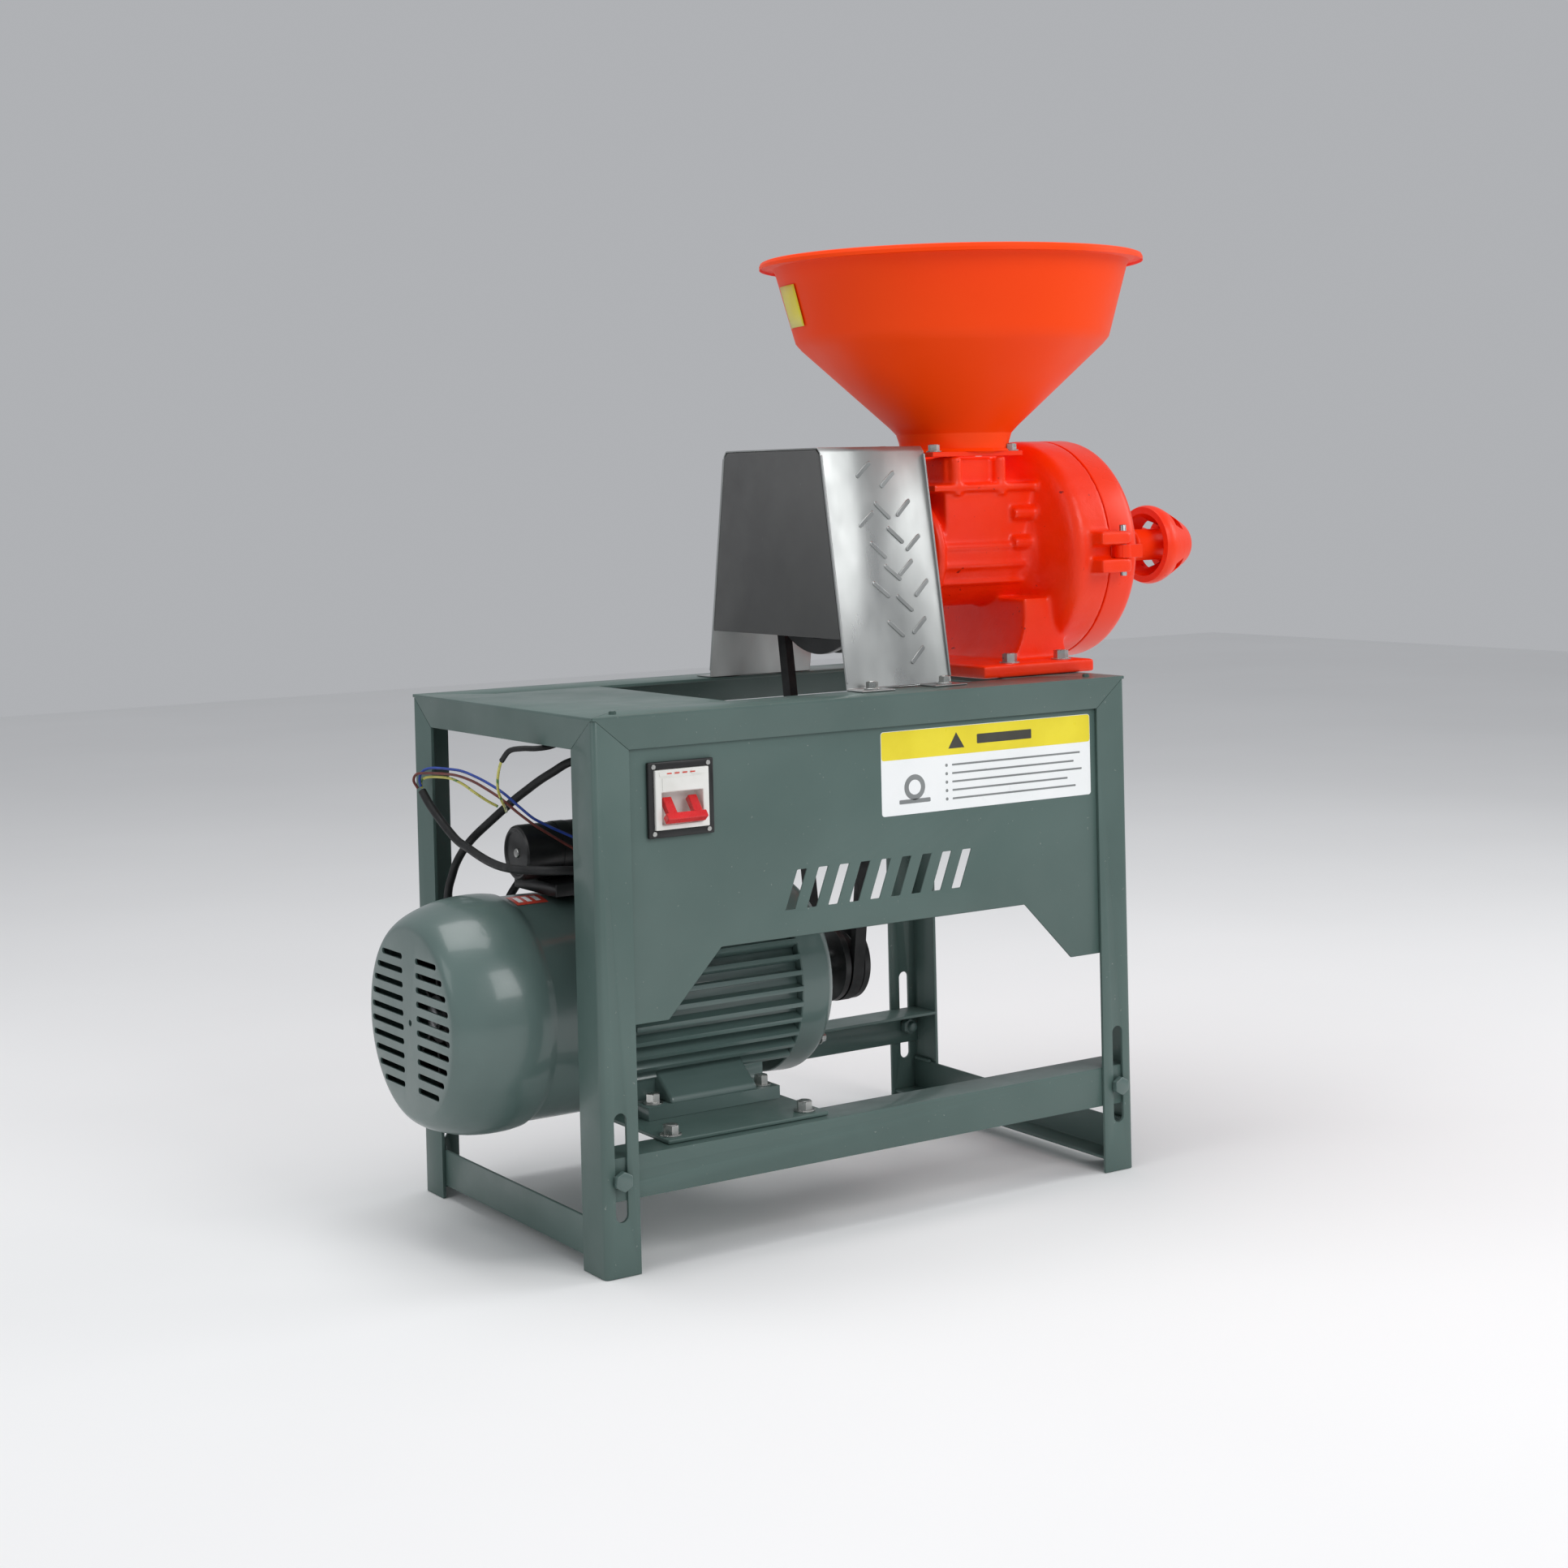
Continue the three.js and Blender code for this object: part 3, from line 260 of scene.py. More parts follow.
def guard_silver():
    finish = Finish("guard_silver", 0.36, metallic=0.85)
    finish.colour(linear(130, 133, 132), linear(192, 194, 193), 7.0, stretch=(1, 1, 0.5))
    finish.gloss(0.24, 0.44, 22.0, (1, 1, 0.5))
    return finish.bump(500.0, 0.05, stretch=(1, 1, 0.1)).bump(9.0, 0.8).material


def zinc():
    finish = Finish("zinc", 0.3, metallic=0.95)
    finish.colour(linear(176, 178, 176), linear(206, 206, 202), 60.0)
    finish.gloss(0.22, 0.42, 160.0)
    return finish.bump(1400.0, 0.03).material


def bright_steel():
    finish = Finish("bright_steel", 0.28, metallic=1.0)
    finish.colour(linear(150, 152, 154), linear(186, 187, 188), 50.0, stretch=(0.1, 1, 1))
    finish.gloss(0.2, 0.36, 90.0, (6, 1, 1))
    return finish.bump(900.0, 0.02, stretch=(8, 1, 1)).material


def cast_iron():
    finish = Finish("cast_iron", 0.6, metallic=0.7)
    finish.colour(linear(44, 45, 46), linear(70, 70, 71), 40.0)
    finish.specks(linear(96, 78, 62), 220.0, 0.70).gloss(0.5, 0.75, 60.0)
    return finish.bump(350.0, 0.3).material


def black_plastic():
    finish = Finish("black_plastic", 0.38)
    finish.colour(linear(15, 16, 17), linear(26, 27, 28), 25.0)
    finish.gloss(0.3, 0.46, 40.0)
    return finish.bump(1200.0, 0.05).material


def white_plastic():
    finish = Finish("white_plastic", 0.35)
    finish.colour(linear(226, 226, 220), linear(240, 240, 236), 30.0)
    finish.gloss(0.3, 0.42, 60.0)
    return finish.bump(1000.0, 0.03).material


def red_plastic():
    finish = Finish("red_plastic", 0.3, coat=0.3)
    finish.colour(linear(205, 16, 22), linear(224, 30, 34), 60.0)
    finish.gloss(0.24, 0.36, 90.0)
    return finish.bump(1000.0, 0.03).material


def rubber():
    finish = Finish("rubber", 0.6)
    finish.colour(linear(14, 15, 16), linear(26, 27, 28), 50.0)
    finish.specks(linear(60, 60, 58), 400.0, 0.72).gloss(0.5, 0.72, 80.0)
    return finish.bump(900.0, 0.08).material


def insulation(name, dark, light):
    finish = Finish(name, 0.42)
    finish.colour(linear(*dark), linear(*light), 90.0)
    finish.gloss(0.34, 0.5, 120.0)
    return finish.bump(1500.0, 0.02).material


def earth_insulation():
    """Green and yellow lie side by side along the core."""
    finish = Finish("earth_insulation", 0.42)
    finish.colour(linear(196, 190, 92), linear(212, 206, 112), 90.0)
    finish.specks(linear(96, 140, 74), 120.0, 0.56).gloss(0.34, 0.5, 120.0)
    return finish.bump(1500.0, 0.02).material


def print_ink(name, dark, light):
    finish = Finish(name, 0.32, coat=0.3)
    finish.colour(linear(*dark), linear(*light), 20.0)
    finish.gloss(0.26, 0.4, 50.0)
    return finish.bump(300.0, 0.02).material


def pale_floor():
    finish = Finish("pale_floor", 0.85, specular=0.1)
    finish.colour(linear(240, 240, 240), linear(244, 244, 244), 1.0)
    return finish.bump(40.0, 0.02).material


STAND = stand_paint()
MOTOR = motor_paint()
CAST_RED = cast_red()
SMOOTH_RED = smooth_red()
HOPPER_RED = hopper_red()
GREY = guard_grey()
SILVER = guard_silver()
ZINC = zinc()
STEEL = bright_steel()
IRON = cast_iron()
BLACK = black_plastic()
WHITE = white_plastic()
RED = red_plastic()
RUBBER = rubber()
BLUE = insulation("blue_insulation", (32, 62, 150), (48, 82, 176))
BROWN = insulation("brown_insulation", (88, 34, 28), (112, 48, 38))
EARTH = earth_insulation()
PAPER = print_ink("label_white", (244, 247, 247), (250, 252, 252))
YELLOW = print_ink("label_yellow", (232, 212, 30), (244, 226, 46))
INK = print_ink("label_ink", (120, 124, 124), (140, 144, 144))
DARK_INK = print_ink("label_dark_ink", (52, 50, 44), (70, 68, 60))
TAG_RED = print_ink("tag_red", (206, 62, 44), (222, 84, 66))


# ------------------------------------------------------------------ mesh tools
def finished(name, bm, material, body=None, sharp=35.0):
    """Turns a bmesh into a smooth-shaded object that rides on a body."""
    bmesh.ops.recalc_face_normals(bm, faces=bm.faces)
    mesh = bpy.data.meshes.new(name)
    bm.to_mesh(mesh)
    bm.free()
    mesh.materials.append(material)
    mesh.shade_smooth()
    mesh.set_sharp_from_angle(angle=math.radians(sharp))
    piece = bpy.data.objects.new(name, mesh)
    bpy.context.scene.collection.objects.link(piece)
    if body:
        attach(piece, body)
    return piece


def bevel(piece, width, segments=2, angle=32.0):
    rounded = piece.modifiers.new("bevel", "BEVEL")
    rounded.width = width / 1000
    rounded.segments = segments
    rounded.limit_method = "ANGLE"
    rounded.angle_limit = math.radians(angle)
    rounded.harden_normals = True
    return piece


def settle(piece):
    """Applies the modifiers a piece has so far."""
    graph = bpy.context.evaluated_depsgraph_get()
    graph.update()
    mesh = bpy.data.meshes.new_from_object(piece.evaluated_get(graph))
    piece.modifiers.clear()
    piece.data = mesh
    return piece


def carve(piece, bm, sharp=35.0):
    """Cuts the closed shells of a bmesh out of a piece."""
    cutter = finished(piece.name + "_cutter", bm, piece.data.materials[0])
    tool = piece.modifiers.new("carve", "BOOLEAN")
    tool.operation = "DIFFERENCE"
    tool.solver = "EXACT"
    tool.use_self = True
    tool.object = cutter
    settle(piece)
    bpy.data.objects.remove(cutter)
    piece.data.shade_smooth()
    piece.data.set_sharp_from_angle(angle=math.radians(sharp))
    return piece


def skin(bm, rings, closed_rows=True, cap=True):
    """Joins rings of points, each ring a closed loop of the same count."""
    rows = [[bm.verts.new(point) for point in ring] for ring in rings]
    count = len(rows[0])
    pairs = list(zip(rows, rows[1:]))
    if closed_rows:
        pairs.append((rows[-1], rows[0]))
    for low, high in pairs:
        for i in range(count):
            j = (i + 1) % count
            bm.faces.new((low[i], low[j], high[j], high[i]))
    if cap and not closed_rows:
        bm.faces.new(rows[0])
        bm.faces.new(list(reversed(rows[-1])))


def spun(bm, axis, profile, centre=(0, 0), steps=FINE):
    """Turns an outline of (along, radius) points round an axis; its ends may lie on the axis."""
    def ring(t, radius):
        loop = []
        for i in range(steps):
            angle = 2 * math.pi * i / steps
            a = centre[0] + radius * math.cos(angle)
            b = centre[1] + radius * math.sin(angle)
            loop.append(along(axis, t, a, b))
        return loop

    solid = [(t, radius) for t, radius in profile if radius > 0]
    first_tip = profile[0][1] == 0
    last_tip = profile[-1][1] == 0
    rows = [[bm.verts.new(point) for point in ring(t, radius)] for t, radius in solid]
    pairs = list(zip(rows, rows[1:]))
    if not first_tip and not last_tip:
        pairs.append((rows[-1], rows[0]))
    for low, high in pairs:
        for i in range(steps):
            j = (i + 1) % steps
            bm.faces.new((low[i], low[j], high[j], high[i]))
    for tip, row, end in ((first_tip, rows[0], profile[0]), (last_tip, rows[-1], profile[-1])):
        if tip:
            point = bm.verts.new(along(axis, end[0], *centre))
            for i in range(steps):
                bm.faces.new((point, row[i], row[(i + 1) % steps]))


def rod(bm, axis, radius, span, centre=(0, 0), steps=SMALL, chamfer=0.0):
    low, high = sorted(span)
    if chamfer:
        outline = [(low, 0), (low, radius - chamfer), (low + chamfer, radius)]
        outline += [(high - chamfer, radius), (high, radius - chamfer), (high, 0)]
    else:
        outline = [(low, 0), (low, radius), (high, radius), (high, 0)]
    spun(bm, axis, outline, centre, steps)


def prism(bm, axis, outline, span):
    """Stretches a closed outline of (a, b) points along an axis."""
    rings = [[along(axis, t, a, b) for a, b in outline] for t in sorted(span)]
    skin(bm, rings, closed_rows=False)


def block(bm, xs, ys, zs):
    prism(bm, "z", [(xs[0], ys[0]), (xs[1], ys[0]), (xs[1], ys[1]), (xs[0], ys[1])], zs)


def tilted_block(bm, size, at, turn):
    """A box of a given size, turned about its own middle, placed at a point."""
    made = bmesh.ops.create_cube(bm, size=1.0)
    scale = Matrix.Diagonal((size[0] / 1000, size[1] / 1000, size[2] / 1000, 1))
    shift = Matrix.Translation(place(*at))
    bmesh.ops.transform(bm, matrix=shift @ turn @ scale, verts=made["verts"])


def stadium(centre, half, radius, steps=8):
    """A slot's outline along the first axis: half its straight length, and its end radius."""
    a, b = centre
    points = []
    for end in (1, -1):
        for i in range(steps + 1):
            angle = math.pi * (i / steps - 0.5) + (0 if end > 0 else math.pi)
            points.append((a + end * half + radius * math.cos(angle), b + radius * math.sin(angle)))
    return points


def curve_through(points, steps=5):
    """A smooth line through given points of any dimension."""
    ends = [tuple(2 * a - b for a, b in zip(points[0], points[1]))]
    ends += list(points)
    ends.append(tuple(2 * a - b for a, b in zip(points[-1], points[-2])))
    line = []
    for i in range(len(points) - 1):
        p0, p1, p2, p3 = ends[i:i + 4]
        for k in range(steps):
            t = k / steps
            line.append(tuple(
                0.5 * (2 * b + (c - a) * t + (2 * a - 5 * b + 4 * c - d) * t * t
                       + (3 * b - a - 3 * c + d) * t ** 3)
                for a, b, c, d in zip(p0, p1, p2, p3)
            ))
    line.append(tuple(points[-1]))
    return line


def tube(name, line, radius, material, sides=14):
    """A round tube along points of the record's frame, in metres."""
    bm = bmesh.new()
    across = None
    rings = []
    for i, point in enumerate(line):
        heading = (line[min(i + 1, len(line) - 1)] - line[max(i - 1, 0)]).normalized()
        if across is None:
            across = heading.orthogonal().normalized()
        across = (across - heading * across.dot(heading)).normalized()
        other = heading.cross(across)
        ring = []
        for k in range(sides):
            angle = 2 * math.pi * k / sides
            ring.append(point + (across * math.cos(angle) + other * math.sin(angle)) * radius / 1000)
        rings.append(ring)
    skin(bm, rings, closed_rows=False)
    return finished(name, bm, material)


def hex_bolt(name, axis, at, facing, across, material, body, height=None, washer=True):
    """A hexagon head on its washer; facing is +1 or -1 along the axis."""
    bm = bmesh.new()
    t, centre = at
    high = height or across * 0.55
    base = 0.0
    if washer:
        rod(bm, axis, across * 0.78, (t, t + facing * 1.4), centre, SMALL, 0.3)
        base = facing * 1.2
    turn = random.uniform(0, math.pi / 3)
    head = []
    for i in range(6):
        angle = turn + i * math.pi / 3
        head.append((centre[0] + across / math.sqrt(3) * math.cos(angle),
                     centre[1] + across / math.sqrt(3) * math.sin(angle)))
    prism(bm, axis, head, (t + base, t + base + facing * high))
    crown = t + base + facing * (high - 0.2)
    rod(bm, axis, across * 0.44, (crown, crown + facing * 0.9), centre, SMALL, 0.4)
    return bevel(finished(name, bm, material, body), 0.35, 2)


# ------------------------------------------------------------------ leads
SHEATH = 4.0
CORE = 1.3
# The routes repeat the CAD source's own points, here in metres in the record's frame.
SWITCH_LEAD = [
    (-0.285, -0.124, 0.425), (-0.286, -0.107, 0.427), (-0.295, -0.086, 0.436),
    (-0.309, -0.064, 0.441), (-0.322, -0.045, 0.437), (-0.329, -0.025, 0.427),
    (-0.333, -0.006, 0.418), (-0.337, 0.012, 0.408), (-0.342, 0.03, 0.397), (-0.348, 0.046, 0.385),
    (-0.355, 0.06, 0.373), (-0.361, 0.073, 0.362), (-0.365, 0.084, 0.352), (-0.368, 0.094, 0.341),
    (-0.37, 0.102, 0.33), (-0.371, 0.108, 0.319), (-0.372, 0.114, 0.306), (-0.37, 0.12, 0.289),
    (-0.361, 0.124, 0.273), (-0.346, 0.125, 0.263), (-0.328, 0.123, 0.264), (-0.314, 0.118, 0.277),
    (-0.307, 0.108, 0.297), (-0.303, 0.091, 0.313), (-0.3, 0.068, 0.319), (-0.298, 0.043, 0.319),
]
SUPPLY_LEAD = [
    (-0.251, -0.043, 0.319), (-0.252, -0.06, 0.32), (-0.263, -0.08, 0.324), (-0.286, -0.092, 0.332),
    (-0.317, -0.096, 0.34), (-0.345, -0.093, 0.345), (-0.365, -0.086, 0.346),
    (-0.378, -0.071, 0.346), (-0.383, -0.05, 0.345), (-0.382, -0.02, 0.344), (-0.38, 0.008, 0.345),
    (-0.379, 0.032, 0.348), (-0.378, 0.055, 0.352), (-0.379, 0.076, 0.357), (-0.379, 0.096, 0.365),
    (-0.38, 0.114, 0.375), (-0.382, 0.13, 0.387), (-0.384, 0.142, 0.399),
]
CORE_BLUE = [
    (-0.3845, 0.1436, 0.4034), (-0.3845, 0.1465, 0.41), (-0.383, 0.1435, 0.4175),
    (-0.38, 0.13, 0.422), (-0.378, 0.096, 0.4238), (-0.377, 0.068, 0.424), (-0.3775, 0.038, 0.4213),
    (-0.376, 0.015, 0.417), (-0.369, -0.001, 0.409), (-0.359, -0.013, 0.3965),
    (-0.351, -0.024, 0.3865), (-0.34, -0.025, 0.38), (-0.329, -0.026, 0.374),
    (-0.317, -0.028, 0.368), (-0.299, -0.032, 0.358), (-0.282, -0.035, 0.344),
    (-0.277, -0.035, 0.327),
]
CORE_BROWN = [
    (-0.3866, 0.146, 0.4016), (-0.3895, 0.149, 0.409), (-0.3885, 0.1445, 0.4155),
    (-0.385, 0.13, 0.4175), (-0.382, 0.096, 0.4195), (-0.3815, 0.068, 0.42),
    (-0.381, 0.038, 0.4175), (-0.379, 0.015, 0.4125), (-0.3725, -0.004, 0.404),
    (-0.363, -0.017, 0.392), (-0.354, -0.0285, 0.382), (-0.343, -0.029, 0.3745),
    (-0.332, -0.029, 0.3675), (-0.321, -0.031, 0.36), (-0.305, -0.036, 0.349),
    (-0.295, -0.037, 0.337), (-0.293, -0.037, 0.327),
]
CORE_EARTH = [
    (-0.3824, 0.1462, 0.4016), (-0.3816, 0.149, 0.408), (-0.381, 0.142, 0.4115),
    (-0.379, 0.13, 0.4135), (-0.377, 0.096, 0.415), (-0.375, 0.072, 0.4115),
    (-0.371, 0.054, 0.4045), (-0.362, 0.046, 0.3965), (-0.354, 0.04, 0.391),
]
EARTH_LEAD = [
    (-0.313, -0.096, 0.4848), (-0.329, -0.095, 0.477), (-0.348, -0.092, 0.465),
    (-0.363, -0.089, 0.4585), (-0.377, -0.085, 0.457), (-0.386, -0.076, 0.457),
    (-0.393, -0.064, 0.4545), (-0.396, -0.054, 0.445), (-0.395, -0.044, 0.431),
    (-0.389, -0.031, 0.417), (-0.38, -0.019, 0.4055), (-0.365, 0.003, 0.394),
    (-0.353, 0.025, 0.3875),
]


def lead(node, points, radius, material, body, bent=None):
    """A lead along its route; one given a bend runs from the motor carriage to the stand."""
    line = [Vector(point) for point in curve_through(points, 6)]
    piece = tube(node.replace("_", "") + "_visual", line, radius, material)
    if bent:
        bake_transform(piece)
    else:
        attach(piece, body)
    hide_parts(node)


def leads():
    switch_bend = (CORE_JOINT_LOW, (0, 0, 0.420))
    earth_bend = (CORE_JOINT_LOW, CORE_JOINT_HIGH)
    lead("switch_lead", SWITCH_LEAD, SHEATH, RUBBER, None, bent=switch_bend)
    lead("supply_lead", SUPPLY_LEAD, SHEATH, RUBBER, "motor_carriage")
    lead("core_blue", CORE_BLUE, CORE, BLUE, "motor_carriage")
    lead("core_brown", CORE_BROWN, CORE, BROWN, "motor_carriage")
    lead("core_earth", CORE_EARTH, CORE, EARTH, "motor_carriage")
    lead("earth_lead", EARTH_LEAD, CORE, EARTH, None, bent=earth_bend)


# ------------------------------------------------------------------ the CAD parts that stay
def keep_sheet_parts():
    """Plain sheet and angle parts keep their CAD shape, with rounded edges and a real finish."""
    painted = {
        STAND: [
            "post_front_left", "post_front_right", "post_rear_left", "post_rear_right",
            "top_rail_front", "top_rail_rear", "top_rail_right", "deck_left", "low_rail_left",
            "low_rail_right", "motor_rail_front", "motor_rail_rear", "mill_bearer", "front_panel",
            "motor_base_plate",
        ],
        SILVER: ["belt_guard"],
        GREY: ["guard_plate_left", "guard_plate_right"],
        MOTOR: [
            "motor_housing", "fan_end_shield", "clamp_bolt_front_left", "clamp_bolt_front_right",
            "clamp_bolt_rear_left", "clamp_bolt_rear_right",
        ],
        BLACK: ["terminal_tray", "switch_bezel", "cooling_fan"],
        CAST_RED: ["feed_gate"],
        ZINC: ["lock_nut"],
        STEEL: ["mill_shaft", "bearing_outboard", "bearing_inboard", "hinge_pin", "motor_rotor"],
        IRON: ["feed_auger", "rotating_burr", "stationary_burr", "burr_carrier", "stator"],
    }
    widths = {STAND: 0.9, SILVER: 0.6, GREY: 0.5, MOTOR: 1.1, BLACK: 0.9}
    for material, names in painted.items():
        for name in names:
            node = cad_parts[name]
            node.data.materials.clear()
            node.data.materials.append(material)
            node.data.shade_smooth()
            node.data.set_sharp_from_angle(angle=math.radians(28))
            weld = node.modifiers.new("weld", "WELD")
            weld.merge_threshold = 0.00002
            bevel(node, widths.get(material, 0.5), 2, 40.0)


# ------------------------------------------------------------------ hopper
def hopper():
    """The spun bowl with its rolled lip, on a square flange with four bolts."""
    bm = bmesh.new()
    outer = [
        (714, 55), (719, 55.6), (727, 57), (735, 59.5), (742, 66), (824, 155), (831, 161), (838, 163),
        (903, 180.5), (908, 183), (911.5, 190), (910, 195.5), (907.6, 196.4), (907.6, 197),
        (911, 197), (914, 195.6), (915, 193), (914.5, 186), (910, 181.6), (903, 178.7),
    ]
    inner = [(838, 161.2), (831, 159.4), (824, 153), (742, 64), (736, 58), (727, 55.4), (714, 53.4)]
    spun(bm, "z", outer + inner, (HOPPER_X, 0), 144)
    shell = finished("hopper_shell", bm, HOPPER_RED, "stand", 25)
    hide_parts("hopper")
    bm = bmesh.new()
    block(bm, (166, 280), (-54, 54), (711.3, 716))
    flange = finished("hopper_flange", bm, CAST_RED, "stand")
    cutter = bmesh.new()
    rod(cutter, "z", 53.4, (705, 722), (HOPPER_X, 0), FINE)
    carve(flange, cutter)
    bevel(flange, 1.2)
    bm = bmesh.new()
    spun(bm, "z", [(716, 54.8), (719.5, 55.4), (718, 57.5), (716, 60)], (HOPPER_X, 0))
    finished("hopper_weld", bm, HOPPER_RED, "stand", 60)
    for i, (x, y) in enumerate(((174, -45), (272, -45), (174, 45), (272, 45))):
        hex_bolt(f"hopper_bolt_{i}", "z", (716, (x, y)), 1, 10, ZINC, "stand", 6)


def hopper_tag():
    """A small plain yellow sticker curved round the rim's left side."""
    rows = []
    for z in (846, 860, 874, 888):
        radius = 161.2 + (z - 831) * (19.5 / 74) + 1.6
        rows.append([
            (HOPPER_X + radius * math.cos(math.radians(angle)),
             radius * math.sin(math.radians(angle)), z)
            for angle in range(155, 172, 2)
        ])
    bm = bmesh.new()
    verts = [[bm.verts.new(place(*point)) for point in row] for row in rows]
    for low, high in zip(verts, verts[1:]):
        for i in range(len(low) - 1):
            bm.faces.new((low[i], low[i + 1], high[i + 1], high[i]))
    tag = finished("hopper_tag", bm, YELLOW, "stand")
    thick = tag.modifiers.new("thick", "SOLIDIFY")
    thick.thickness = 0.0003
    thick.offset = 0


# ------------------------------------------------------------------ mill casting
def mill_casting():
    """Barrel, drum, pedestal, foot, ribs and lugs melted into one casting, then bored."""
    bm = bmesh.new()
    mid = (0, MILL_Z)
    spun(bm, "x", [
        (140, 0), (140, 44), (142, 47), (148, 54), (165, 54), (166, 60), (168, 61), (174, 61),
        (176, 60), (177, 54), (276, 54), (284, 57), (290, 66), (299, 101), (301.5, 107),
        (305, 111), (309, 113.4), (314, 114), (344.7, 114), (344.7, 0),
    ], mid, FINE)
    block(bm, (182, 292), (-52, 52), (MILL_Z, MILL_Z + 66))
    block(bm, (165, 297), (-58, 58), (MILL_Z + 64, MILL_Z + 71))
    block(bm, (186, 261), (-46, 46), (MILL_Z + 70, MILL_Z + 99))
    block(bm, (178, 318), (-116, 116), (DECK_Z + 0.3, DECK_Z + 13.3))
    pedestal = [(236, 497)] + curve_through(
        [(240, 499), (252, 511), (260, 528), (262.5, 545), (262, 565)], 4,
    ) + [(312, 565), (314, 520), (317, 497)]
    prism(bm, "y", pedestal, (-74, 74))
    for side in (-1, 1):
        for degrees in (-32, -12, 8):
            lean = math.radians(degrees if side > 0 else 180 - degrees)
            middle = (53 * math.cos(lean), MILL_Z + 53 * math.sin(lean))
            tilted_block(bm, (114, 8, 5), (233, *middle), Matrix.Rotation(lean, 4, "X"))
    for low, high in ((6, 20), (-22, -8)):
        block(bm, (318, 344.7), (-132.6, -94), (MILL_Z + low, MILL_Z + high))
        block(bm, (343, 352), (-132.6, -115.4), (MILL_Z + low, MILL_Z + high))
        rod(bm, "z", 8.6, (MILL_Z + low, MILL_Z + high), HINGE, SMALL)
    block(bm, (322, 344.7), (94, 134), (MILL_Z - 12, MILL_Z + 12))
    for x in (196, 252):
        for y in (-50, 50):
            rod(bm, "z", 7, (MILL_Z + 60, MILL_Z + 99), (x, y), SMALL)
    for y, z in ((-58, 40), (-58, 10), (58, 40), (58, 10)):
        rod(bm, "x", 6.5, (264, 292), (y * 0.95, MILL_Z + z), SMALL)
    body = finished("mill_body", bm, CAST_RED, "stand")
    voxels = body.modifiers.new("voxels", "REMESH")
    voxels.mode = "VOXEL"
    voxels.voxel_size = 0.0021
    melt = body.modifiers.new("melt", "SMOOTH")
    melt.factor = 0.5
    melt.iterations = 7
    settle(body)
    cutter = bmesh.new()
    spun(cutter, "x", [(309, 0), (309, 102), (313, 106), (360, 106), (360, 0)], mid, FINE)
    rod(cutter, "x", 31.3, (130, 182), mid, MEDIUM)
    rod(cutter, "x", 24, (181, 186), mid, MEDIUM)
    rod(cutter, "x", 36, (184, 310), mid, MEDIUM)
    block(cutter, (196, 252), (-34, 34), (MILL_Z + 10, MILL_Z + 110))
    block(cutter, (189.7, 257.3), (-41.3, 60), (MILL_Z + 74, MILL_Z + 78.2))
    prism(cutter, "y", [
        (246, 488), (281, 488), (325, 520), (325, 560), (309, 560), (264, 516),
    ], (-45, 45))
    rod(cutter, "z", 3.8, (MILL_Z - 24, MILL_Z + 22), HINGE, SMALL)
    rod(cutter, "x", 5.2, (333, 360), (122, MILL_Z), SMALL)
    carve(body, cutter, 40)
    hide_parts("mill_casting")
    for i, (x, y) in enumerate(((224, -97), (290, -97), (224, 97), (290, 97))):
        hex_bolt(f"mill_foot_bolt_{i}", "z", (DECK_Z + 13.2, (x, y)), 1, 13, ZINC, "stand", 8)


def bearing_cap():
    """The flat cap on the belt side of the barrel, held by four bolts."""
    bm = bmesh.new()
    spun(bm, "x", [
        (139.7, 17), (139.7, 47.4), (138.8, 48), (135.4, 48), (134, 46.4), (134, 30), (133.7, 29),
        (133.7, 17.8), (134.2, 17),
    ], (0, MILL_Z), MEDIUM)
    cap = finished("bearing_cover", bm, CAST_RED, "stand", 30)
    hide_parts("bearing_cap")
    for i in range(4):
        angle = math.radians(45 + 90 * i)
        centre = (39 * math.cos(angle), MILL_Z + 39 * math.sin(angle))
        hex_bolt(f"bearing_cap_bolt_{i}", "x", (134, centre), -1, 7, ZINC, "stand", 3, False)


def drum_cover():
    """The domed cover with its hinge knuckle, latch lug and screw boss."""
    bm = bmesh.new()
    dome = curve_through([(371, 114), (377, 112.6), (382, 109), (387, 102), (391, 91), (393.6, 74),
                          (395, 56), (396.4, 42), (398, 33)], 4)
    spun(bm, "x", [
        (345, 104), (345, 113.2), (345.8, 114), *dome, (400, 28), (404, 25.2), (423, 24),
        (425, 22.4), (425, 11), (368.6, 11), (368.6, 98), (366, 104),
    ], (0, MILL_Z), 128)
    rod(bm, "z", 8.6, (MILL_Z - 7.7, MILL_Z + 5.7), HINGE, MEDIUM)
    block(bm, (346, 372), (-131, -104), (MILL_Z - 7.6, MILL_Z + 5.6))
    block(bm, (345.2, 360), (98, 134), (MILL_Z - 12, MILL_Z + 12))
    for i in range(3):
        angle = math.radians(90 + 120 * i)
        y, z = 78 * math.cos(angle), MILL_Z + 78 * math.sin(angle)
        rod(bm, "x", 7, (385, 395.5), (y, z), SMALL, 1.0)
    cover = finished("drum_front", bm, SMOOTH_RED, "cover", 30)
    bevel(cover, 1.2, 3)
    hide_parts("drum_cover")


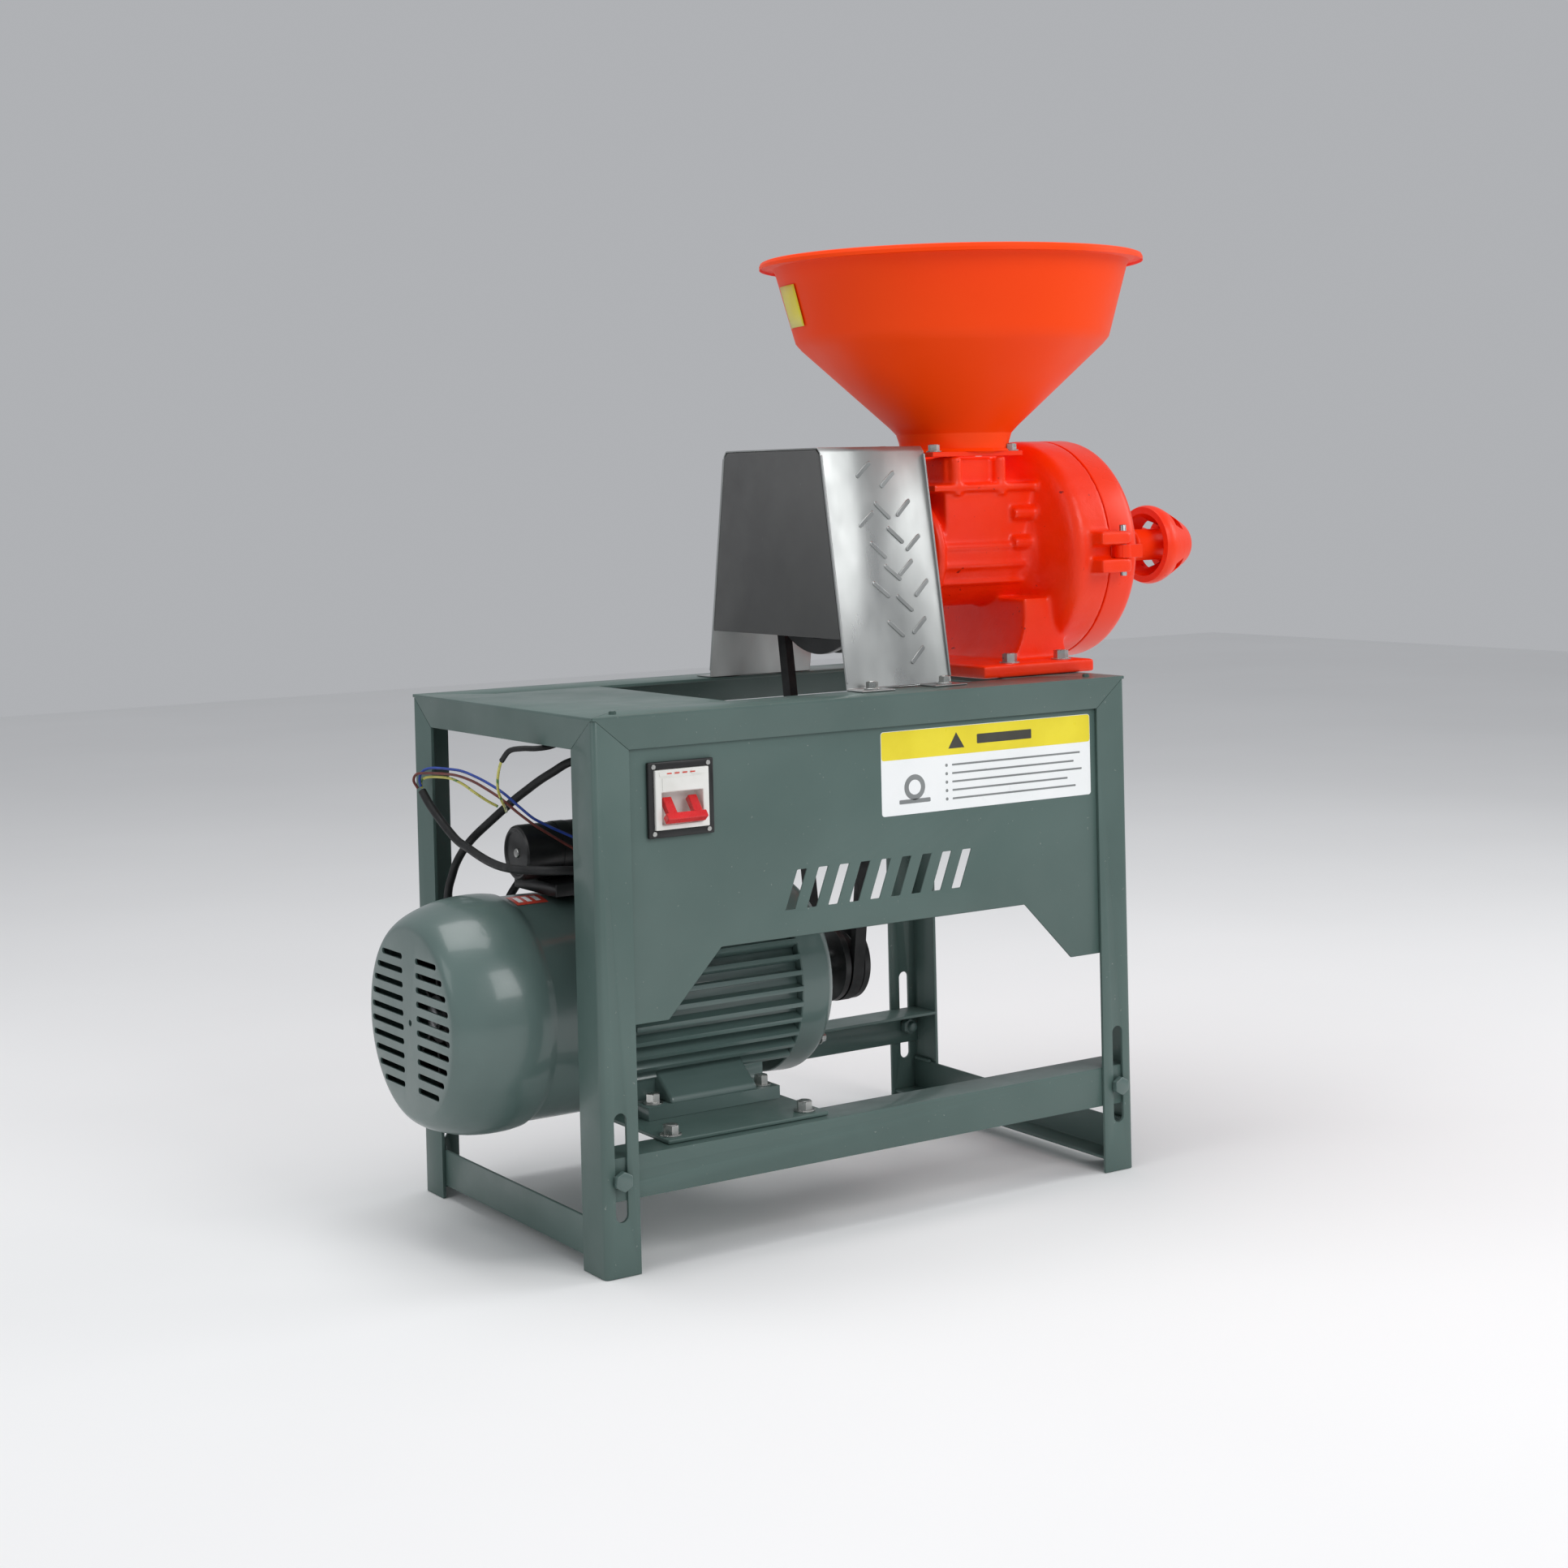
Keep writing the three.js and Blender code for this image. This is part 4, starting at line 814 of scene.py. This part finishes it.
def wing_bolt():
    """The latch bolt with a pair of ears."""
    bm = bmesh.new()
    centre = (122, MILL_Z)
    rod(bm, "x", 4, (335, 364), centre, SMALL, 0.6)
    spun(bm, "x", [(360.4, 0), (360.4, 7.2), (361, 7.5), (372, 6.6), (392, 6.2), (394, 5), (394, 0)],
         centre, SMALL)
    for side in (-1, 1):
        ear = curve_through([(390, 3), (391, 10), (392, 17), (396, 20.5), (402, 19.5), (405, 14),
                             (403, 8), (399, 4), (394, 1)], 4)
        outline = [(x, MILL_Z + side * z) for x, z in ear]
        prism(bm, "y", outline, (119.8, 124.2))
    bolt = finished("wing_bolt_body", bm, ZINC, "wing_bolt", 40)
    bevel(bolt, 0.8, 3)
    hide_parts("wing_bolt")


def adjuster():
    """The threaded screw, and the handwheel: a pierced dish on a hub."""
    bm = bmesh.new()
    mid = (0, MILL_Z)
    profile = [(362, 0), (362, 9)]
    crest = 363.5
    while crest < 477:
        profile += [(crest, 10), (crest + 0.9, 8.9)]
        crest += 2
    spun(bm, "x", profile + [(479, 9), (479, 0)], mid, 32)
    screw = finished("adjusting_thread", bm, ZINC, "adjuster", 60)
    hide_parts("adjusting_screw")
    bm = bmesh.new()
    outer = curve_through([(486, 41), (490, 42.4), (495, 42.5), (501, 40.8), (512, 35.6),
                           (524, 29.4), (534, 24), (539, 20), (541, 16)], 3)
    spun(bm, "x", [(486, 34), *outer, (541, 0), (530, 0), (530, 16), (497, 33)], mid, FINE)
    dish = finished("handwheel_dish", bm, CAST_RED, "adjuster", 30)
    cutter = bmesh.new()
    for i in range(4):
        angle = math.radians(45 + 90 * i)
        middle = (36 * math.cos(angle), MILL_Z + 36 * math.sin(angle))
        tilted_block(cutter, (15, 30, 17), (513, *middle), Matrix.Rotation(angle, 4, "X"))
    carve(dish, cutter)
    bevel(dish, 1.6, 3)
    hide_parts("handwheel")
    bm = bmesh.new()
    spun(bm, "x", [(466, 10.6), (466, 15.5), (467.5, 17), (540, 17), (540, 10.6)], mid, MEDIUM)
    bevel(finished("handwheel_hub", bm, CAST_RED, "adjuster"), 0.8)


# ------------------------------------------------------------------ belt, pulleys and guard
def pulley(name, node, body, rim, belt_radius, bore, hub):
    """A grooved wheel; one given a hub radius is webbed, the other solid."""
    left, right = BELT_X - 15, BELT_X + 15
    floor = belt_radius - 0.3
    profile = [(left, bore)]
    if hub:
        profile += [(left, hub), (BELT_X - 6, hub + 3), (BELT_X - 6, floor - 8), (left, floor - 6)]
    profile += [
        (left, rim), (BELT_X - 8, rim), (BELT_X - 6.6, floor), (BELT_X + 6.6, floor),
        (BELT_X + 8, rim), (right, rim),
    ]
    if hub:
        profile += [(right, floor - 6), (BELT_X + 6, floor - 8), (BELT_X + 6, hub + 3), (right, hub)]
    profile.append((right, bore))
    bm = bmesh.new()
    spun(bm, "x", profile, (0, MILL_Z if body == "mill_rotor" else MOTOR_Z), FINE)
    piece = bevel(finished(name, bm, BLACK, body), 0.7)
    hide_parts(node)
    return piece


def v_belt():
    """A V section carried round both pulleys."""
    low, high = 29.0, 85.0
    lean = math.asin((high - low) / (MILL_Z - MOTOR_Z))
    path = []
    arc = 44
    for i in range(arc + 1):
        path.append((MILL_Z, high, -lean + (math.pi + 2 * lean) * i / arc))
    run = 30
    start, end = path[-1], (MOTOR_Z, low, math.pi + lean)
    for i in range(1, run):
        t = i / run
        path.append((start[0] + (end[0] - start[0]) * t, high + (low - high) * t, end[2]))
    for i in range(arc // 2 + 1):
        path.append((MOTOR_Z, low, math.pi + lean + (math.pi - 2 * lean) * i / (arc // 2)))
    last = path[-1][2]
    for i in range(1, run):
        t = i / run
        path.append((MOTOR_Z + (MILL_Z - MOTOR_Z) * t, low + (high - low) * t, last))
    section = [(-4.4, 0.2), (4.4, 0.2), (6.4, 9.4), (6.4, 10.6), (-6.4, 10.6), (-6.4, 9.4)]
    rings = []
    for centre, radius, angle in path:
        rings.append([
            place(BELT_X + side, (radius + out) * math.cos(angle),
                  centre + (radius + out) * math.sin(angle))
            for side, out in section
        ])
    bm = bmesh.new()
    skin(bm, rings)
    belt = finished("belt", bm, RUBBER)
    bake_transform(belt)
    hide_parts("v_belt")


def guard_wall(z, out=0.0):
    """Half depth of the leaning guard at a height."""
    return GUARD_HALF_DEPTH - (z - GUARD_FOOT) * GUARD_SLOPE + out


def guard_details():
    """Pressed dashes on the front wall, a folded hem, and bolts through the four tabs."""
    lean = math.atan(GUARD_SLOPE)
    bm = bmesh.new()
    dashes = [
        (55, 700, 40), (82, 690, 40), (97, 662, 42), (72, 660, -44), (52, 652, 38), (84, 636, -42),
        (104, 628, 40), (62, 622, -42), (92, 604, 40), (76, 600, -40), (108, 584, 42),
        (60, 584, -40), (86, 570, -42), (100, 548, 40), (72, 546, -42), (94, 520, 42),
    ]
    for x, z, angle in dashes:
        ring = stadium((0, 0), 10, 2.2, 6)
        turn = math.radians(angle)
        base, top = [], []
        for a, b in ring:
            dx = a * math.cos(turn) - b * math.sin(turn)
            dz = a * math.sin(turn) + b * math.cos(turn)
            base.append(place(x + dx, -guard_wall(z + dz, -0.3), z + dz))
            top.append(place(x + dx * 0.93, -guard_wall(z + dz * 0.93, 0.8), z + dz * 0.93))
        skin(bm, [base, top], closed_rows=False)
    bevel(finished("guard_dashes", bm, SILVER, "stand"), 0.7, 3)
    for side in (-1, 1):
        for x in (26, 111):
            name = f"guard_bolt_{'front' if side < 0 else 'rear'}_{x}"
            hex_bolt(name, "z", (491.8, (x, side * 139)), 1, 10, ZINC, "stand", 6)
    bm = bmesh.new()
    for x in (7.9, 129.1):
        for side in (-1, 1):
            tilted_block(bm, (2.2, 2.4, 220), (x, side * guard_wall(606, 0.2), 606),
                         Matrix.Rotation(side * lean, 4, "X"))
    bevel(finished("guard_hems", bm, SILVER, "stand"), 0.8, 3)


# ------------------------------------------------------------------ motor
def fan_cowl():
    """The spun cowl with ten rows of slots and three dome-headed screws."""
    bm = bmesh.new()
    bulge = curve_through([(-395, 84), (-394, 88), (-390, 92.5), (-382, 97.5), (-370, 102.3),
                           (-354, 106.6), (-336, 108.7), (-318, 108.7), (-306, 107.2)], 4)
    spun(bm, "x", [
        (-395, 0), *bulge, (-301, 104.4), (-298, 103.5), (-227, 103.5), (-227, 101.5), (-302, 101.5),
        (-318, 106.7), (-336, 106.7), (-354, 104.6), (-370, 100.3), (-382, 95.4), (-389, 90.4),
        (-392.6, 86), (-393, 82), (-393, 0),
    ], (0, MOTOR_Z), 128)
    cowl = finished("cowl_shell", bm, MOTOR, "motor_carriage", 30)
    cutter = bmesh.new()
    field, pitch, middle_bar, slot_end = 82, 13, 14, 2.7
    for row in range(10):
        z = (row - 4.5) * pitch
        reach = math.sqrt(field ** 2 - z ** 2)
        for side in (-1, 1):
            half = (reach - middle_bar) / 2 - slot_end
            slot = stadium((side * (middle_bar + reach) / 2, MOTOR_Z + z), half, slot_end)
            prism(cutter, "x", slot, (-399, -390))
    rod(cutter, "x", 3, (-399, -390), (0, MOTOR_Z), SMALL)
    carve(cowl, cutter, 30)
    bevel(cowl, 0.5, 2, 40)
    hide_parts("fan_cowl")
    for i in range(3):
        angle = math.radians(90 + 120 * i + 38)
        at = place(-236, 103 * math.cos(angle), MOTOR_Z + 103 * math.sin(angle))
        bm = bmesh.new()
        made = bmesh.ops.create_uvsphere(bm, u_segments=16, v_segments=10, radius=0.0042)
        flat = Matrix.Diagonal((1, 1, 0.6, 1))
        turn = Vector((0, math.cos(angle), math.sin(angle))).to_track_quat("Z", "Y")
        move = Matrix.Translation(at) @ turn.to_matrix().to_4x4() @ flat
        bmesh.ops.transform(bm, matrix=move, verts=made["verts"])
        finished(f"cowl_screw_{i}", bm, ZINC, "motor_carriage")


def drive_bell():
    """The end shield on the pulley side, with four bolts."""
    bm = bmesh.new()
    face = curve_through([(-6, 97), (-1, 95.6), (6, 90), (13, 79), (18, 68), (22, 54), (25, 42),
                          (27.6, 33)], 4)
    spun(bm, "x", [
        (-31.7, 13.5), (-31.7, 95), (-30.7, 96), (-12, 97), *face, (29, 30), (44.5, 26), (46, 24.5),
        (46, 13.5),
    ], (0, MOTOR_Z), FINE)
    bell = finished("drive_bell", bm, MOTOR, "motor_carriage", 30)
    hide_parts("drive_end_bell")
    for i in range(4):
        angle = math.radians(45 + 90 * i)
        centre = (84 * math.cos(angle), MOTOR_Z + 84 * math.sin(angle))
        hex_bolt(f"bell_bolt_{i}", "x", (9, centre), 1, 8, ZINC, "motor_carriage", 5)


def motor_feet():
    """Bolts through the cast feet, bolts through the base plate, and the feet's sloping cheeks."""
    for i, (x, y) in enumerate(((-192, -84), (-74, -84), (-192, 84), (-74, 84))):
        hex_bolt(f"motor_foot_bolt_{i}", "z", (120.3, (x, y)), 1, 12, ZINC, "motor_carriage", 8)
    for i, (x, y) in enumerate(((-213, -151), (-70, -152), (-213, 151), (-70, 152))):
        hex_bolt(f"base_plate_bolt_{i}", "z", (108, (x, y)), 1, 13, ZINC, "motor_carriage", 8)
    bm = bmesh.new()
    for side in (-1, 1):
        cheek = [(60, 152), (60, 119), (97, 119), (96, 125), (78, 138)]
        prism(bm, "x", [(side * y, z) for y, z in cheek], (-180, -86))
    bevel(finished("motor_foot_cheeks", bm, MOTOR, "motor_carriage"), 3.0, 3)


def capacitor():
    """A black can on its side, with a stud and a strap."""
    centre = (0, MOTOR_Z + 117.3 + 26)
    bm = bmesh.new()
    spun(bm, "x", [
        (-282.6, 0), (-282.6, 20), (-284, 21.6), (-284, 23.6), (-282.4, 25.4), (-280, 26),
        (-199, 26), (-196, 25), (-195, 23), (-195, 0),
    ], centre, MEDIUM)
    can = finished("capacitor_can", bm, BLACK, "motor_carriage", 30)
    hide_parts("capacitor")
    bm = bmesh.new()
    rod(bm, "x", 4.4, (-284, -282), centre, SMALL, 0.6)
    finished("capacitor_stud", bm, ZINC, "motor_carriage")
    bm = bmesh.new()
    spun(bm, "x", [(-246, 25.9), (-246, 26.5), (-234, 26.5), (-234, 25.9)], centre, MEDIUM)
    finished("capacitor_strap", bm, BLACK, "motor_carriage")


def cowl_tag():
    """A small plain red sticker with pale bars, wrapped over the top of the cowl's skirt."""
    def patch(name, span, angles, radius, material):
        bm = bmesh.new()
        rows = []
        for angle in angles:
            turn = math.radians(angle)
            y, z = radius * math.cos(turn), MOTOR_Z + radius * math.sin(turn)
            rows.append([bm.verts.new(place(x, y, z)) for x in span])
        for low, high in zip(rows, rows[1:]):
            bm.faces.new((low[0], low[1], high[1], high[0]))
        finished(name, bm, material, "motor_carriage")

    patch("cowl_tag", (-298, -266), range(92, 108, 2), 103.9, TAG_RED)
    for i in range(3):
        left = -294 + i * 9
        patch(f"cowl_tag_bar_{i}", (left, left + 5), range(95, 105, 2), 104.1, PAPER)


# ------------------------------------------------------------------ panel details
def rounded_sheet(name, xs, zs, y, radius, material, thick=0.25):
    """A thin plate in the panel's plane with rounded corners; y is its inner face."""
    corners = []
    for cx, cz, start in ((xs[1] - radius, zs[1] - radius, 0), (xs[0] + radius, zs[1] - radius, 90),
                          (xs[0] + radius, zs[0] + radius, 180), (xs[1] - radius, zs[0] + radius, 270)):
        for step in range(0, 91, 15):
            angle = math.radians(start + step)
            corners.append((cx + radius * math.cos(angle), cz + radius * math.sin(angle)))
    bm = bmesh.new()
    prism(bm, "y", corners, (y - thick, y))
    return finished(name, bm, material, "stand")


def label():
    """A plain label: pale sheet, yellow band, a plain mark and grey bars in place of its words."""
    front = PANEL_Y
    rounded_sheet("label_sheet", (6, 257), (376, 455), front, 3, PAPER)
    rounded_sheet("label_band", (6.4, 256.6), (428, 454.6), front - 0.25, 2.8, YELLOW, 0.12)
    rounded_sheet("label_title", (118, 184), (436.5, 445.5), front - 0.37, 1, DARK_INK, 0.08)
    bm = bmesh.new()
    prism(bm, "y", [(84, 434), (103, 434), (93.5, 449)], (front - 0.45, front - 0.37))
    finished("label_mark", bm, DARK_INK, "stand")
    for i in range(5):
        z = 418.5 - i * 8
        right = (244, 236, 246, 228, 238)[i]
        rounded_sheet(f"label_line_{i}", (88, right), (z - 0.9, z + 0.9), front - 0.25, 0.5, INK, 0.08)
        rounded_sheet(f"label_dot_{i}", (80, 83), (z - 1.5, z + 1.5), front - 0.25, 1.4, INK, 0.08)
    bm = bmesh.new()
    rod(bm, "y", 12, (front - 0.33, front - 0.25), (44, 401), MEDIUM)
    finished("label_icon", bm, INK, "stand")
    bm = bmesh.new()
    rod(bm, "y", 7, (front - 0.41, front - 0.33), (44, 401), MEDIUM)
    finished("label_icon_middle", bm, PAPER, "stand")
    rounded_sheet("label_icon_base", (26, 62), (386, 390), front - 0.25, 1, INK, 0.08)


def breaker():
    """The moulded body with its lever slot, and the twin lever on its cross bar."""
    face = PANEL_Y - 6.6
    bm = bmesh.new()
    block(bm, (-240, -185), (face, PANEL_Y + 54), (387, 440))
    body = finished("breaker_body", bm, WHITE, "stand")
    cutter = bmesh.new()
    block(cutter, (-233.6, -191.4), (face - 2, PANEL_Y + 8), (391.5, 420))
    carve(body, cutter)
    bevel(body, 0.9)
    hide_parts("switch_body")
    bm = bmesh.new()
    pivot_y, pivot_z = PANEL_Y + 1.7, 413.5
    down = Matrix.Rotation(math.radians(50), 4, "X")
    for x in (-225.5, -199.5):
        tilted_block(bm, (9, 20, 6.5), (x, pivot_y - 6.4, pivot_z - 7.6), down)
    tilted_block(bm, (41, 7, 8), (-212.5, pivot_y - 13.2, pivot_z - 15.8), down)
    lever = bevel(finished("breaker_twin_lever", bm, RED, "switch_lever"), 1.0, 3)
    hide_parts("switch_lever")
    rounded_sheet("breaker_shield", (-233, -192), (421, 433), face, 1, WHITE, 0.5)
    for i, x in enumerate((-229, -196)):
        rounded_sheet(f"breaker_cap_{i}", (x - 7, x + 7), (434.5, 438.5), face, 1, WHITE, 0.5)
    for i, x in enumerate((-226, -218, -210, -202)):
        across = (x - 2.5, x + 2.5)
        rounded_sheet(f"breaker_mark_{i}", across, (436, 437.2), face - 0.4, 0.4, TAG_RED, 0.2)
    for i, x in enumerate((-240.5, -184.5)):
        for z in (384, 443):
            bm = bmesh.new()
            rod(bm, "y", 2.2, (PANEL_Y - 5.2, PANEL_Y - 4), (x, z), SMALL, 0.4)
            finished(f"bezel_screw_{i}_{z}", bm, ZINC, "stand")


def frame_details():
    """Weld beads in the stand's corners and the two screws of the front top rail."""
    bm = bmesh.new()
    for side_x in (-1, 1):
        for side_y in (-1, 1):
            for i in range(9):
                point = place(side_x * 293.4, side_y * (HALF_DEPTH - 8 - i * 3), 47.6)
                made = bmesh.ops.create_icosphere(bm, subdivisions=2, radius=0.0021)
                drift = Vector((0, 0, random.uniform(-0.0003, 0.0003)))
                bmesh.ops.translate(bm, vec=point + drift, verts=made["verts"])
    finished("weld_beads", bm, STAND, "stand")
    for i, x in enumerate((-268, 268)):
        hex_bolt(f"rail_screw_{i}", "z", (DECK_Z, (x, -162)), 1, 6, STAND, "stand", 2.5, False)


def earth_sleeve():
    """The black sleeve over the first part of the earth lead."""
    line = [Vector(point) for point in curve_through(EARTH_LEAD[:8], 6)][2:]
    sleeve = tube("earth_lead_sleeve", line, 2.5, RUBBER)
    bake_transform(sleeve)


def stage():
    """The floor, the sky and four soft lights."""
    bm = bmesh.new()
    bmesh.ops.create_grid(bm, x_segments=1, y_segments=1, size=6)
    floor = finished("floor", bm, pale_floor())
    floor.location = (0, 0, -0.0005)
    world = bpy.data.worlds.new("studio")
    world.use_nodes = True
    sky = world.node_tree.nodes["Background"]
    sky.inputs["Color"].default_value = (0.94, 0.96, 1.0, 1)
    sky.inputs["Strength"].default_value = 0.46
    bpy.context.scene.world = world
    middle = (0, 0, 0.45)
    area_light("key", (0.3, -2.6, 2.1), middle, 1.5, 30)
    area_light("left_fill", (-2.8, -0.4, 1.9), middle, 1.2, 7)
    area_light("right_rim", (2.4, -0.9, 1.6), middle, 1.2, 14)
    area_light("overhead", (-0.4, 0.2, 3.0), middle, 1.8, 36)
    bpy.context.scene.view_settings.view_transform = "Standard"


build_camera()
stage()
leads()
earth_sleeve()
keep_sheet_parts()
hopper()
hopper_tag()
mill_casting()
bearing_cap()
drum_cover()
wing_bolt()
adjuster()
pulley("small_pulley", "motor_pulley", "motor_rotor", 39, 29, 12.3, 0)
pulley("large_pulley", "mill_pulley", "mill_rotor", 95, 85, 15.3, 28)
v_belt()
guard_details()
fan_cowl()
drive_bell()
motor_feet()
capacitor()
cowl_tag()
label()
breaker()
frame_details()
